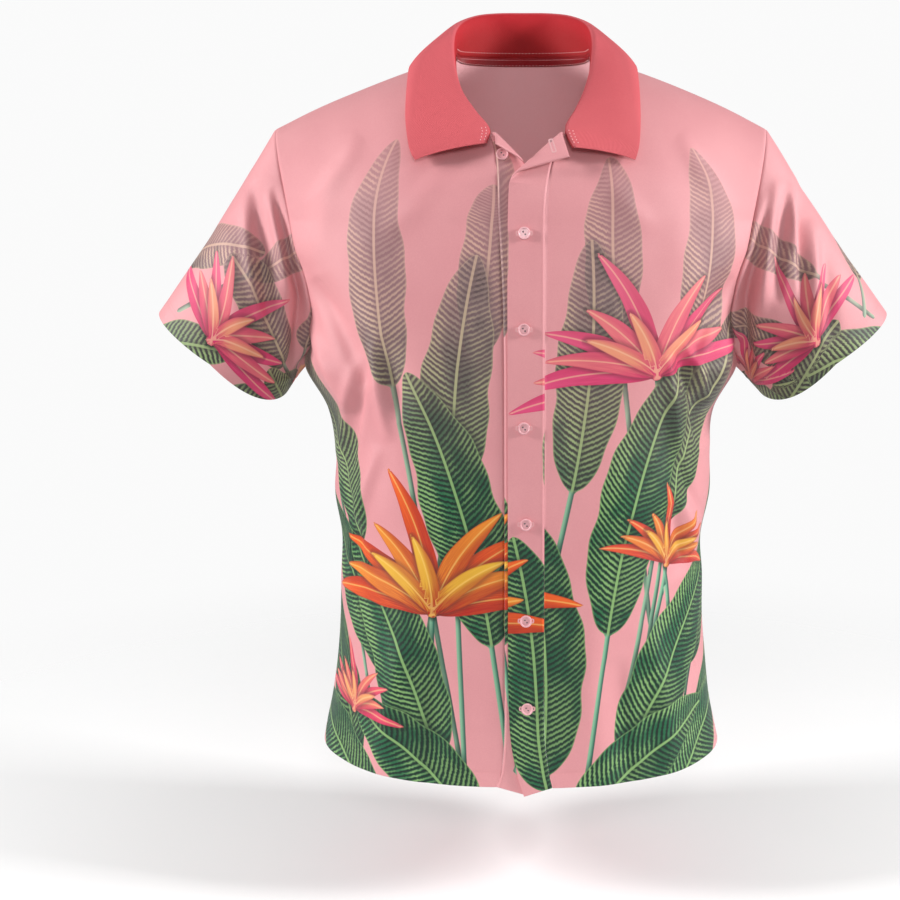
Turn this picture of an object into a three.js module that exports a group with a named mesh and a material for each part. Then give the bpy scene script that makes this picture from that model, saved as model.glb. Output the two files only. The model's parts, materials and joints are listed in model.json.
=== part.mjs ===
// A short-sleeved, button-front shirt as it is worn, filled out and hollow, with open neck, hem and cuffs.
// Millimetres. The origin is the middle of the neck at shoulder height, under which a wearer's shoulders hold it.
// +X is the wearer's left, -Y the front, +Z up.

import * as THREE from "three";

// Driving dimensions
const clothWall = 1.2;
const bandWall = 1.6;
const collarWall = 1.6;
const tapeWall = 1;
const tapeWidth = 9;
const tapeDrop = 1; // the tape starts this far under the neckline
const tapeGap = 1.7;
const seamGap = 0.3;
const bandLift = 1.2; // the left front runs this far before the middle depth, and the right front behind it
const neckShare = 0.3; // the share of a front's or half back's width that ends at the neck, not the shoulder
const buttonRadius = 5.75;
const buttonThickness = 2.4;
const buttonRim = 1.3;
const buttonDish = 0.7;
const buttonSides = 14;
const buttonGap = 0.45;
const buttonRound = 0.5; // the radius of a button's rounded edges
const cuffAcross = 149;
const cuffDeep = 120;

// How finely the pieces are divided
const rowsBelowWaist = 6;
const rowsWaistToArm = 11;
const rowsAtArmhole = 6;
const rowsAtShoulder = 6;
const frontColumns = 13;
const backColumns = 22;
const sideCrowding = 1.25; // above 1, the columns stand closer towards the side seams
const sleeveRings = 12;
const collarColumns = 44;
const standRows = 3;
const leafRows = 6;
const curlColumns = 4; // the steps in which a band's top turns over
const placeStep = 0.02; // how closely a button's place on its band is searched

// How far the curves' handles reach, as shares of the distance they span
const middleReach = 0.58;
const sideReach = 0.35;
const chestReach = 0.36;
const slopeStep = 0.25; // the part of a row over which the cloth's slope at the chest line is taken

// How the folds, the bands' tops and the collar ease in and out
const foldOverrun = 0.1; // a fold fades out over this share of its length past each end
const foldTaper = 0.8;
const sleeveFoldEase = 3; // folds reach full depth a third of the way down the sleeve
const bandOpening = 7; // how many seam gaps a band's seam opens by at the neck
const leafCrowding = 1.3; // above 1, the leaf's rows stand closer towards the fold

// A table whose first argument names its columns.
function table(names, rows) {
  const keys = names.split(" ");
  return rows.map((row) => Object.fromEntries(keys.map((key, k) => [key, row[k]])));
}

// The body from hem to armpit. side and mid are heights at the side seam and at the middle; left and right are half
// widths; front and back are depths; bandL and bandR are where the bands join, freeL and freeR where they end.
const levels = table("side mid left right front back bandL bandR freeL freeR droop", [
  [-704, -707, 205, 208, 138, 101, 28.5, -25.5, 1, 5, -9],
  [-686, -690, 201, 205, 137, 100, 25, -20.5, -5.5, 9, -4.5],
  [-656, -657, 195, 199, 136, 98, 21, -18, -12, 12, -1],
  [-614, -612, 190, 193, 135, 95, 20.2, -17.6, -14, 12.5, 0],
  [-570, -567, 185.5, 189, 134.5, 91, 20.2, -17.6, -14.3, 12.5, 0],
  [-526, -522, 184.5, 187, 134, 88, 20.2, -17.6, -14.3, 12.5, 0],
  [-484, -479, 182, 185, 133.5, 86, 20.2, -17.6, -14.3, 12.5, 0],
  [-440, -436, 190, 191, 133, 87, 20.2, -17.6, -14.3, 12.5, 0],
  [-396, -393, 189.5, 189.5, 132.5, 91, 20.2, -17.6, -14.3, 12.5, 0],
  [-352, -350, 193, 197, 132, 96, 20.2, -17.6, -14.3, 12.5, 0],
  [-311, -308, 214, 218, 131, 101, 20.2, -17.6, -14.3, 12.5, 0],
]);

// The armhole from armpit to the chest line. left, right, y and side place the seam, turn is the row's angle there.
const frontArmhole = table("side mid left right y turn front bandL bandR freeL freeR droop", [
  [-288, -282, 206, 209, -26, 80, 130, 20.2, -17.8, -14.3, 12.5, 0],
  [-264, -257, 201, 205, -44, 68, 128.5, 20.2, -18.2, -14.3, 12.4, 0],
  [-239, -233, 203, 206, -55, 56, 126.5, 20.2, -18.8, -14.3, 12, 0],
  [-214, -210, 209, 212, -59, 48, 124, 20.2, -19.8, -14.3, 11.4, 0],
  [-189, -187, 216, 220, -57, 43, 121, 20.2, -21, -14.2, 10.6, 0],
  [-165, -165, 221, 225, -51, 40, 118, 20.2, -22.4, -14, 9.4, 0],
]);
const backArmhole = table("side mid left right y turn back", [
  [-287, -282, 208, 211, 25, 80, 104],
  [-261, -257, 207, 210, 39, 68, 106],
  [-236, -232, 210, 213, 47, 58, 107],
  [-212, -207, 215, 219, 50, 50, 107],
  [-188, -181, 221, 225, 48, 45, 105],
  [-165, -155, 225, 229, 43, 42, 102],
]);

// The edges that the upper body ends in. out and drop are the cloth's direction away from the edge, reach its pull.
const frontNeck = table("x y z lean out drop reach", [
  [39.5, -92, -84, -0.6, 0.5, 0.62, 0.24],
  [51, -70, -70, -0.15, 0.68, 0.72, 0.34],
  [60, -46, -53, 0, 0.76, 0.65, 0.36],
  [65.5, -20, -30, 0, 0.86, 0.5, 0.36],
  [66.5, 0, -10, 0, 0.93, 0.37, 0.34],
]);
const backNeck = table("x y z lean out drop reach", [
  [0, 62, -10, 0, 0.42, 0.9, 0.34],
  [26, 58.5, -10, 0, 0.46, 0.88, 0.34],
  [48, 44, -10, 0, 0.58, 0.81, 0.34],
  [62, 24, -10, 0, 0.78, 0.62, 0.34],
  [66.5, 0, -10, 0, 0.93, 0.37, 0.34],
]);
const shoulder = table("left right z out drop reach", [
  [66.5, 66.5, -10, 0.93, 0.37, 0.34],
  [108, 108, -23, 0.95, 0.31, 0.34],
  [150, 150, -38.5, 0.95, 0.3, 0.34],
  [196, 198, -58, 0.95, 0.3, 0.32],
  [238, 242, -79, 0.94, 0.33, 0.26],
]);
const neckEndRight = 33.5; // the right front's neckline starts this far from the middle, the left one at frontNeck's x

// The turned-out tops of the bands. x, y and z are where the roll line leaves the free edge, width is the band's at
// the neck, radius the roll's and turn how far it goes round.
const lapels = {
  left: { x: -12.6, y: -114.2, z: -128, width: 35, radius: 2.6, turn: 168 },
  right: { x: 4, y: -106.5, z: -121, width: 32, radius: 5, turn: 128 },
};

const bendMargin = 4; // the rows turn towards the roll line from this far under it
// Where along a row its columns for the roll may start and end, how wide they are at least, and the slowest pace
// across the roll line that is reckoned with.
const curlShares = { first: 0.08, last: 0.76, least: 0.12, end: 0.9, slowest: 0.2 };

// The collar from the middle of the back to the front: its seam, its fold and its leaf's edge. roll is how round the
// fold is, swell how far the leaf stands off the front under it.
const collarHalf = table("sx sy sz fx fy fz ex ey ez roll swell", [
  [0, 60.6, -9, 0, 70, 35, 0, 87, -20, 5, 0],
  [26, 57, -9, 27, 67, 34.5, 38, 83, -21, 5, 0],
  [46.6, 43, -9, 48, 54, 31, 76, 68, -24, 5, 0],
  [60.8, 23, -9, 65.5, 32, 22, 100, 37, -24, 5, 0],
  [65.2, 0, -9, 71.5, 4, 8.5, 108.5, 0, -18.5, 5, 3],
  [63.9, -20, -29, 70, -18, -15, 110, -32, -35, 5, 9],
  [58.2, -45.6, -51.6, 61, -44, -42, 109.5, -71, -68, 4.5, 10],
]);
const collarFrontLeft = table("sx sy sz fx fy fz ex ey ez roll swell", [
  [50, -69.5, -69, 51, -67, -61.5, 107.5, -92, -92, 4, 8],
  [39.5, -90.5, -82, 41.5, -89, -78.5, 105, -100, -103, 3, 4],
  [45.5, -107, -97.5, 48.5, -107.5, -97, 103, -103, -108, 1.5, 1],
]);
const collarFrontRight = table("sx sy sz fx fy fz ex ey ez roll swell", [
  [-45.1, -68.3, -67.3, -47.4, -67.5, -62, -106, -92, -92, 4, 8],
  [-31.1, -87.9, -79.9, -35.1, -89, -79, -102.5, -100, -103, 3, 4],
  [-36.6, -102.6, -92.6, -40.3, -104, -93.5, -99, -103, -108, 1.5, 1],
]);

// How the collar's curves bow between seam, fold and edge: the first four in shares, lift in millimetres.
const collarShape = { over: 1.3, stand: 0.4, armAt: 0.6, armOut: 0.7, lift: 2, swellUp: 0.8, swellFront: 0.6 };

// Where the buttons sit: their height, and how far in from the free edge of the band under them. The top one is
// undone and lies on the under band.
const buttons = table("side height inset", [
  ["right", -103, 19.5],
  ["left", -173.7, 15.2],
  ["left", -261.6, 15.2],
  ["left", -353.4, 15.2],
  ["left", -445.3, 17],
  ["left", -539.3, 17.1],
  ["left", -627.5, 17.6],
]);

// The cuff ring: its middle, the slope of its long axis, and how far its faces sag out of the ring's plane.
const cuff = { x: 300.5, z: -298.5, slopeX: 0.831, slopeZ: 0.557, push: 6, lowPush: 17 };
const sleeveBulge = { face: 9, top: -4 };

// The largest folds. Each runs from x1, z1 to x2, z2 seen from the front or back; a negative depth is a trough.
const foldColumns = "x1 z1 x2 z2 width depth";
const frontFolds = table(foldColumns, [
  [196, -225, 150, -315, 13, -6],
  [206, -262, 176, -345, 10, 5],
  [122, -360, 150, -430, 9, 5],
  [137, -345, 164, -420, 8, -5],
  [156, -370, 178, -410, 8, 4],
  [-197, -228, -152, -312, 13, -6],
  [-206, -264, -172, -340, 10, 5],
  [-137, -350, -134, -425, 10, 5],
  [-152, -335, -128, -390, 9, -5],
  [-158, -450, -156, -505, 8, 4],
  [128, -560, 150, -700, 16, 3],
  [92, -600, 104, -705, 14, -3],
  [-120, -590, -142, -702, 16, 3],
  [-86, -610, -92, -705, 14, -3],
]);
const backFolds = table(foldColumns, [
  [186, -215, 128, -330, 14, -6],
  [-186, -215, -128, -330, 14, -6],
  [150, -400, 90, -470, 13, 5],
  [-146, -392, -84, -468, 13, 5],
  [158, -470, 92, -520, 11, -4],
  [-156, -462, -96, -522, 11, -4],
  [34, -420, 22, -600, 17, 3],
  [-30, -440, -44, -640, 17, -3],
  [104, -580, 128, -700, 16, 3],
  [-100, -590, -122, -700, 16, 3],
]);
const sleeveFrontFolds = table(foldColumns, [
  [252, -148, 240, -236, 10, -7],
  [228, -150, 203, -212, 9, -6],
  [240, -135, 222, -240, 8, 4],
  [276, -160, 262, -270, 14, 4],
]);
const sleeveBackFolds = table(foldColumns, [
  [254, -140, 238, -240, 11, -6],
  [280, -170, 262, -290, 14, 4],
  [236, -150, 216, -250, 9, 4],
]);

const pink = new THREE.Color(0.82, 0.38, 0.41);
const coral = new THREE.Color(0.73, 0.15, 0.17);
const darkRed = new THREE.Color(0.42, 0.03, 0.04);

function clothMaterial(color) {
  return new THREE.MeshStandardMaterial({ color, roughness: 0.75, metalness: 0 });
}

const vector = (x, y, z) => new THREE.Vector3(x, y, z);
const between = (a, b, share) => a.clone().lerp(b, share);
const clamp = THREE.MathUtils.clamp;

// A column's value at a place between a table's rows, on a smooth curve through every row.
function along(rows, key, place) {
  const last = rows.length - 1;
  const low = clamp(Math.floor(place), 0, last - 1);
  const t = place - low;
  const value = (k) => {
    if (k < 0) return 2 * rows[0][key] - rows[1][key];
    if (k > last) return 2 * rows[last][key] - rows[last - 1][key];
    return rows[k][key];
  };
  const [a, b, c, d] = [value(low - 1), value(low), value(low + 1), value(low + 2)];
  return b + 0.5 * t * (c - a + t * (2 * a - 5 * b + 4 * c - d + t * (3 * (b - c) + d - a)));
}

function curve(a, b, c, d, t) {
  const s = 1 - t;
  return a
    .clone()
    .multiplyScalar(s * s * s)
    .addScaledVector(b, 3 * s * s * t)
    .addScaledVector(c, 3 * s * t * t)
    .addScaledVector(d, t * t * t);
}

// The levels joined to an armhole's rows, so that one place runs from hem to chest line.
const frontRows = [
  ...levels.map((row) => ({ ...row, y: 0, turn: 90 })),
  ...frontArmhole,
];
const backRows = [
  ...levels.map((row) => ({ ...row, y: 0, turn: 90 })),
  ...backArmhole,
];
const armpit = levels.length - 1;
const chestLine = frontRows.length - 1;
const topEdge = chestLine + 1;

// A row of the body between the middle and the side, bowed out like a quarter of an oval.
function bodyRow(rows, depthKey, sign, side, start, place, share) {
  const value = (key) => along(rows, key, place);
  const end = vector(side === "left" ? value("left") : -value("right"), value("y"), value("side"));
  const first = vector(start, sign * value(depthKey), value("mid"));
  const spread = end.x - first.x;
  const plan = Math.hypot(spread, end.y - first.y);
  const turn = THREE.MathUtils.degToRad(value("turn"));
  const outward = Math.sign(spread);
  const near = first.clone().add(vector(middleReach * spread, 0, (end.z - first.z) / 3));
  const back = vector(-outward * Math.cos(turn), sign * Math.sin(turn), 0).multiplyScalar(sideReach * plan);
  const far = end.clone().add(back);
  far.z = end.z + (first.z - end.z) / 3;
  return curve(first, near, far, end, share);
}

// The edge in which the upper body ends: the neckline up to neckShare, then the shoulder seam.
function edgeAt(neck, sign, side, share) {
  const out = side === "left" ? 1 : -1;
  const onNeck = share < neckShare;
  const rows = onNeck ? neck : shoulder;
  const place = (onNeck ? share / neckShare : (share - neckShare) / (1 - neckShare)) * (rows.length - 1);
  const value = (key) => along(rows, key, place);
  let x = onNeck ? value("x") : value(side);
  if (onNeck && neck === frontNeck && side === "right") {
    const fade = 1 - clamp(share / neckShare, 0, 1);
    x -= (frontNeck[0].x - neckEndRight) * fade * fade * fade;
  }
  const point = vector(out * x, onNeck ? value("y") : 0, value("z"));
  const away = vector(onNeck ? out * value("lean") : 0, sign * value("out"), -value("drop")).normalize();
  return { point, away, reach: value("reach") };
}

// A point of a front or half back. row runs from 0 at the hem to topEdge, share from the middle to the side.
function bodyPoint(panel, side, row, share) {
  const { rows, depthKey, sign, neck, lift } = panel;
  const start = (place) => {
    if (panel.back) return 0;
    return along(rows, side === "left" ? "bandL" : "bandR", place);
  };
  const lower = (place) => bodyRow(rows, depthKey, sign, side, start(place), place, share);
  let point;
  if (row <= chestLine) {
    point = lower(row);
  } else {
    const foot = lower(chestLine);
    const rise = foot.clone().sub(lower(chestLine - slopeStep)).normalize();
    const { point: top, away, reach } = edgeAt(neck, sign, side, share);
    const span = top.distanceTo(foot);
    const lowArm = foot.clone().addScaledVector(rise, chestReach * span);
    const highArm = top.clone().addScaledVector(away, reach * span);
    point = curve(foot, lowArm, highArm, top, row - chestLine);
  }
  const fade = Math.pow(1 - clamp(share, 0, 1), 2);
  point.y -= lift[side] * fade * clamp(1 - (row - chestLine), 0, 1);
  return point;
}
const front = {
  rows: frontRows,
  depthKey: "front",
  sign: -1,
  neck: frontNeck,
  lift: { left: bandLift, right: -bandLift },
};
const back = {
  rows: backRows,
  depthKey: "back",
  sign: 1,
  neck: backNeck,
  lift: { left: 0, right: 0 },
  back: true,
};

// How far a point is pushed in or out by the folds near it.
function foldDepth(folds, point) {
  let depth = 0;
  for (const fold of folds) {
    const dx = fold.x2 - fold.x1;
    const dz = fold.z2 - fold.z1;
    const length = Math.hypot(dx, dz);
    const run = ((point.x - fold.x1) * dx + (point.z - fold.z1) * dz) / (length * length);
    const off = ((point.x - fold.x1) * dz - (point.z - fold.z1) * dx) / length;
    if (run > -foldOverrun && run < 1 + foldOverrun) {
      const through = (run + foldOverrun) / (1 + 2 * foldOverrun);
      const taper = Math.pow(Math.sin(Math.PI * through), foldTaper);
      depth += fold.depth * taper * Math.exp(-Math.pow(off / fold.width, 2));
    }
  }
  return depth;
}

// The outward direction at each point of a grid whose columns and rows run as the cloth does.
function normalsOf(grid, loop) {
  const rows = grid.length;
  const columns = grid[0].length;
  return grid.map((line, i) =>
    line.map((_, j) => {
      const before = loop ? line[(j + columns - 1) % columns] : line[Math.max(0, j - 1)];
      const after = loop ? line[(j + 1) % columns] : line[Math.min(columns - 1, j + 1)];
      const below = grid[Math.max(0, i - 1)][j];
      const above = grid[Math.min(rows - 1, i + 1)][j];
      return after.clone().sub(before).cross(above.clone().sub(below)).normalize();
    }),
  );
}

// The grid pushed in and out by folds.
function folded(grid, folds, loop) {
  const normals = normalsOf(grid, loop);
  return grid.map((line, i) =>
    line.map((point, j) => point.clone().addScaledVector(normals[i][j], foldDepth(folds, point))),
  );
}

// The grid moved along its outward directions.
function offset(grid, distance, loop = false) {
  const normals = normalsOf(grid, loop);
  return grid.map((line, i) => line.map((point, j) => point.clone().addScaledVector(normals[i][j], distance)));
}

// A closed wall between an outer and an inner grid. A loop closes round its columns.
function wallBetween(outer, inner, loop = false) {
  const rows = outer.length;
  const columns = outer[0].length;
  const positions = [];
  for (const grid of [outer, inner]) {
    for (const line of grid) {
      for (const point of line) positions.push(point.x, point.y, point.z);
    }
  }
  const out = (i, j) => i * columns + (j % columns);
  const inn = (i, j) => rows * columns + out(i, j);
  const index = [];
  const quad = (a, b, c, d) => index.push(a, b, c, a, c, d);
  const spans = loop ? columns : columns - 1;
  for (let i = 0; i < rows - 1; i++) {
    for (let j = 0; j < spans; j++) {
      quad(out(i, j), out(i, j + 1), out(i + 1, j + 1), out(i + 1, j));
      quad(inn(i, j), inn(i + 1, j), inn(i + 1, j + 1), inn(i, j + 1));
    }
  }
  const top = rows - 1;
  for (let j = 0; j < spans; j++) {
    quad(inn(0, j), inn(0, j + 1), out(0, j + 1), out(0, j));
    quad(out(top, j), out(top, j + 1), inn(top, j + 1), inn(top, j));
  }
  if (!loop) {
    const end = columns - 1;
    for (let i = 0; i < rows - 1; i++) {
      quad(out(i, 0), out(i + 1, 0), inn(i + 1, 0), inn(i, 0));
      quad(inn(i, end), inn(i + 1, end), out(i + 1, end), out(i, end));
    }
  }
  const geometry = new THREE.BufferGeometry();
  geometry.setAttribute("position", new THREE.Float32BufferAttribute(positions, 3));
  geometry.setIndex(index);
  geometry.computeVertexNormals();
  return geometry;
}

// The body's row places, hem to top edge.
const waist = 5;
const steps = (from, to, count) => Array.from({ length: count }, (_, k) => from + ((to - from) * k) / count);
const rowPlaces = [
  ...steps(0, waist, rowsBelowWaist),
  ...steps(waist, armpit, rowsWaistToArm),
  ...steps(armpit, chestLine, rowsAtArmhole),
  ...steps(chestLine, topEdge, rowsAtShoulder),
  topEdge,
];
const armpitRow = rowsBelowWaist + rowsWaistToArm;

// Keeps a panel on its own side of the side and shoulder seams.
function keepBehindSeam(grid, sign) {
  for (const line of grid) {
    for (const point of line) point.y = sign * Math.max(sign * point.y, seamGap / 2);
  }
  return grid;
}

function panelWall(grid, folds, sign) {
  const outer = keepBehindSeam(folded(grid, folds), sign);
  const inner = keepBehindSeam(offset(outer, -clothWall), sign);
  return { outer, inner };
}

// A column's share of the width, crowded towards the side.
const crowded = (share) => 1 - Math.pow(1 - share, sideCrowding);

function frontWall(side) {
  const shares = Array.from({ length: frontColumns + 1 }, (_, k) => crowded(k / frontColumns));
  if (side === "right") shares.reverse();
  const grid = rowPlaces.map((row) => shares.map((share) => bodyPoint(front, side, row, share)));
  return panelWall(grid, frontFolds, -1);
}

const backShares = Array.from({ length: backColumns + 1 }, (_, k) => {
  const share = 1 - (2 * k) / backColumns;
  return Math.sign(share) * crowded(Math.abs(share));
});
function backWall() {
  const grid = rowPlaces.map((row) =>
    backShares.map((share) => bodyPoint(back, share >= 0 ? "left" : "right", row, Math.abs(share))),
  );
  return panelWall(grid, backFolds, 1);
}

// The sleeve's head follows the armhole edges of its front and back, from the armpit round and back to it.
function armholeRing(side, frontPanel, backPanel) {
  const frontEdge = side === "left" ? frontColumns : 0;
  const backEdge = side === "left" ? 0 : backColumns;
  const last = rowPlaces.length - 1;
  const ring = [];
  const edges = (i) => [
    [frontPanel.outer[i][frontEdge], frontPanel.inner[i][frontEdge]],
    [backPanel.outer[i][backEdge], backPanel.inner[i][backEdge]],
  ];
  const middle = (i) => {
    const [a, b] = edges(i);
    return { outer: between(a[0], b[0], 0.5), inner: between(a[1], b[1], 0.5) };
  };
  ring.push(middle(armpitRow));
  for (let i = armpitRow + 1; i < last; i++) ring.push({ outer: edges(i)[0][0], inner: edges(i)[0][1] });
  ring.push(middle(last));
  for (let i = last - 1; i > armpitRow; i--) ring.push({ outer: edges(i)[1][0], inner: edges(i)[1][1] });
  return ring;
}

function sleeveWall(side, frontPanel, backPanel) {
  const out = side === "left" ? 1 : -1;
  const ring = armholeRing(side, frontPanel, backPanel);
  if (side === "left") ring.reverse();
  const count = ring.length;
  const top = ring.findIndex((edge) => edge.outer.z === Math.max(...ring.map((other) => other.outer.z)));
  const normal = vector(out * cuff.slopeZ, 0, -cuff.slopeX);
  const sag = (angle) => Math.abs(Math.sin(angle)) * (cuff.push + cuff.lowPush * Math.max(0, -Math.cos(angle)));
  const cuffPoint = (j) => {
    const angle = ((j - top) / count) * 2 * Math.PI * (side === "left" ? -1 : 1);
    const across = (Math.cos(angle) * cuffAcross) / 2;
    const deep = (Math.sin(angle) * cuffDeep) / 2;
    const onRing = vector(out * (cuff.x + across * cuff.slopeX), deep, cuff.z + across * cuff.slopeZ);
    return onRing.addScaledVector(normal, sag(angle));
  };
  const grid = [];
  for (let i = 0; i <= sleeveRings; i++) {
    const share = i / sleeveRings;
    grid.push(
      ring.map((edge, j) => {
        const target = cuffPoint(j);
        const lead = target.clone().sub(edge.outer).setLength(seamGap);
        const point = between(edge.outer.clone().add(lead), target, share);
        const angle = ((j - top) / count) * 2 * Math.PI;
        const swell = Math.sin(Math.PI * share);
        point.y += Math.sign(point.y) * sleeveBulge.face * swell * Math.abs(Math.sin(angle));
        point.z += sleeveBulge.top * swell * Math.max(0, Math.cos(angle));
        return point;
      }),
    );
  }
  const pushed = grid.map((line) => line.map((point) => point.clone()));
  const normals = normalsOf(grid, true);
  pushed.forEach((line, i) =>
    line.forEach((point, j) => {
      const plain = vector(Math.abs(point.x), point.y, point.z);
      const folds = point.y < 0 ? sleeveFrontFolds : sleeveBackFolds;
      const ease = Math.min(1, (sleeveFoldEase * i) / sleeveRings);
      point.addScaledVector(normals[i][j], foldDepth(folds, plain) * ease);
    }),
  );
  const inner = offset(pushed, -clothWall, true);
  // Where the seam is a ridge, the sleeve's inner edge follows the body's, so that neither cuts into the other.
  ring.forEach((edge, j) => {
    const lead = cuffPoint(j).sub(edge.outer).setLength(seamGap);
    const bodyNormal = edge.outer.clone().sub(edge.inner).normalize();
    const ridge = clamp(0.5 - 3 * bodyNormal.dot(lead) / seamGap, 0, 1);
    inner[0][j].lerp(edge.inner.clone().add(lead), ridge);
  });
  return { outer: pushed, inner };
}

// Turns what lies beyond a roll line over a round edge. toward points across the line, out away from the cloth.
function rollOver(point, line, radius, turn) {
  const beyond = point.clone().sub(line.from).dot(line.toward);
  if (beyond <= 0) return point.clone();
  const angle = Math.min(beyond / radius, turn);
  const rest = beyond - radius * angle;
  return point
    .clone()
    .addScaledVector(line.toward, radius * Math.sin(angle) + rest * Math.cos(angle) - beyond)
    .addScaledVector(line.out, radius * (1 - Math.cos(angle)) + rest * Math.sin(angle));
}

// The roll line of a band's top and the place of its corner before it is turned out.
function lapelOf(side) {
  const { x, y, z, width, radius, turn } = lapels[side];
  const from = vector(x, y, z);
  const neckEnd = bodyPoint(front, side, topEdge, 0);
  const lineLength = neckEnd.distanceTo(from);
  const run = neckEnd.clone().sub(from).normalize();
  const out = vector(0, -(neckEnd.z - from.z), neckEnd.y - from.y).normalize();
  const toward = out.clone().cross(run);
  if (toward.z < 0) toward.negate();
  const edge = Math.sqrt(lineLength * lineLength - width * width);
  const corner = from
    .clone()
    .addScaledVector(run, (edge * edge) / lineLength)
    .addScaledVector(toward, (edge * width) / lineLength);
  return { from, toward, out, corner, radius, turn: THREE.MathUtils.degToRad(turn) };
}

// A band's middle surface, from its seam to its free edge, before its thickness.
function bandGrid(side) {
  const lapel = lapelOf(side);
  const left = side === "left";
  const level = rowPlaces.map((row) => bodyPoint(front, side, row, 0));
  const bend = level.findIndex((point) => point.z >= lapel.from.z - bendMargin);
  return rowPlaces.map((row, i) => {
    const seam = level[i].clone();
    const opening = 1 + bandOpening * Math.pow(clamp(row - chestLine, 0, 1), 2);
    seam.x += (left ? -seamGap : seamGap) * opening;
    let free;
    if (i < bend) {
      free = seam.clone();
      free.x = along(frontRows, left ? "freeL" : "freeR", Math.min(row, chestLine));
      free.z += along(frontRows, "droop", Math.min(row, chestLine));
      if (row > chestLine) free.lerp(lapel.from, (row - chestLine) / (rowPlaces[bend] - chestLine));
    } else {
      const share = (row - rowPlaces[bend]) / (topEdge - rowPlaces[bend]);
      free = between(lapel.from, lapel.corner, share);
    }
    const inward = vector(0, bandWall / 2, 0);
    const width = seam.distanceTo(free);
    const across = free.clone().sub(seam).normalize();
    const pace = across.dot(lapel.toward);
    const reached = seam.clone().sub(lapel.from).dot(lapel.toward);
    const start = clamp(pace > 0 ? -reached / pace / width : 1, curlShares.first, curlShares.last);
    const arcShare = (lapel.radius * lapel.turn) / Math.max(pace, curlShares.slowest) / width;
    const arc = clamp(arcShare, curlShares.least, curlShares.end - start);
    const places = [0, start / 2, start];
    for (let k = 1; k <= curlColumns; k++) places.push(start + (arc * k) / curlColumns);
    places.push((start + arc + 1) / 2, 1);
    return places.map((share) =>
      rollOver(between(seam, free, share).add(inward), lapel, lapel.radius, lapel.turn),
    );
  });
}

function bandWallOf(side) {
  const grid = bandGrid(side);
  if (side === "left") grid.forEach((line) => line.reverse());
  return { outer: offset(grid, bandWall / 2), inner: offset(grid, -bandWall / 2) };
}

// The collar's stations from the left front end round the back to the right front end.
function collarStations() {
  const mirrored = collarHalf.slice(1).map((row) => ({ ...row, sx: -row.sx, fx: -row.fx, ex: -row.ex }));
  return [
    ...collarFrontLeft.slice().reverse(),
    ...collarHalf.slice().reverse(),
    ...mirrored,
    ...collarFrontRight,
  ];
}

function collarGrid() {
  const stations = collarStations();
  const grid = [];
  const rows = standRows + leafRows;
  for (let i = 0; i <= rows; i++) grid.push([]);
  for (let j = 0; j <= collarColumns; j++) {
    const place = (j / collarColumns) * (stations.length - 1);
    const at = (keys) => vector(...keys.map((key) => along(stations, key, place)));
    const seam = at(["sx", "sy", "sz"]);
    const fold = at(["fx", "fy", "fz"]);
    const edge = at(["ex", "ey", "ez"]);
    const roll = along(stations, "roll", place);
    const away = edge.clone().sub(seam).setZ(0).normalize();
    const inside = fold.clone().addScaledVector(away, -roll);
    const outside = fold.clone().addScaledVector(away, roll * collarShape.over);
    const standArm = between(seam, fold, 0.5).addScaledVector(away, -roll * collarShape.stand);
    const swell = along(stations, "swell", place);
    const leafArm = between(fold, edge, collarShape.armAt).addScaledVector(away, roll * collarShape.armOut);
    leafArm.z = (fold.z + edge.z) / 2 + collarShape.lift + collarShape.swellUp * swell;
    leafArm.y -= collarShape.swellFront * swell;
    for (let i = 0; i < standRows; i++) grid[i].push(curve(seam, standArm, inside, fold, i / standRows));
    for (let i = 0; i <= leafRows; i++) {
      const share = Math.pow(i / leafRows, leafCrowding);
      grid[standRows + i].push(curve(fold, outside, leafArm, edge, share));
    }
  }
  return grid;
}

function collarWallOf() {
  const grid = collarGrid();
  return { outer: offset(grid, collarWall / 2), inner: offset(grid, -collarWall / 2) };
}

// The tape over the back neck seam, made from the back's own inner points moved in.
function tapeWallOf(backPanel) {
  const top = backPanel.inner.length - 1;
  const kept = backShares.map((share, j) => j).filter((j) => Math.abs(backShares[j]) < neckShare);
  const below = (j, distance) => {
    const from = backPanel.inner[top][j];
    return between(from, backPanel.inner[top - 1][j], distance / from.distanceTo(backPanel.inner[top - 1][j]));
  };
  const distances = [tapeWidth, tapeWidth / 2, 0].map((distance) => distance + tapeDrop);
  const grid = distances.map((distance) => kept.map((j) => below(j, distance)));
  return { outer: offset(grid, -tapeGap), inner: offset(grid, -tapeGap - tapeWall) };
}

// A round button with a raised rim and a dished middle, its face along +Z before it is placed.
function buttonGeometry() {
  const inside = buttonRadius - buttonRim;
  const profile = [
    [0, 0],
    [buttonRadius - buttonRound, 0],
    [buttonRadius, buttonRound],
    [buttonRadius, buttonThickness - buttonRound],
    [buttonRadius - buttonRound, buttonThickness],
    [inside, buttonThickness],
    [inside - buttonRound, buttonThickness - buttonDish],
    [0, buttonThickness - buttonDish],
  ].map(([r, h]) => new THREE.Vector2(r, h));
  return new THREE.LatheGeometry(profile, buttonSides).rotateX(Math.PI / 2);
}

// A point of a band's outer face: between two of its rows, and so far along them from the free edge.
function bandPoint(wall, side, place, inset) {
  const low = Math.min(Math.floor(place), wall.outer.length - 2);
  const walk = (line) => {
    const path = side === "left" ? line : line.slice().reverse();
    let left = inset;
    for (let k = 1; k < path.length; k++) {
      const step = path[k].distanceTo(path[k - 1]);
      if (left <= step) return between(path[k - 1], path[k], left / step);
      left -= step;
    }
    return path[path.length - 1];
  };
  return between(walk(wall.outer[low]), walk(wall.outer[low + 1]), place - low);
}

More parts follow.
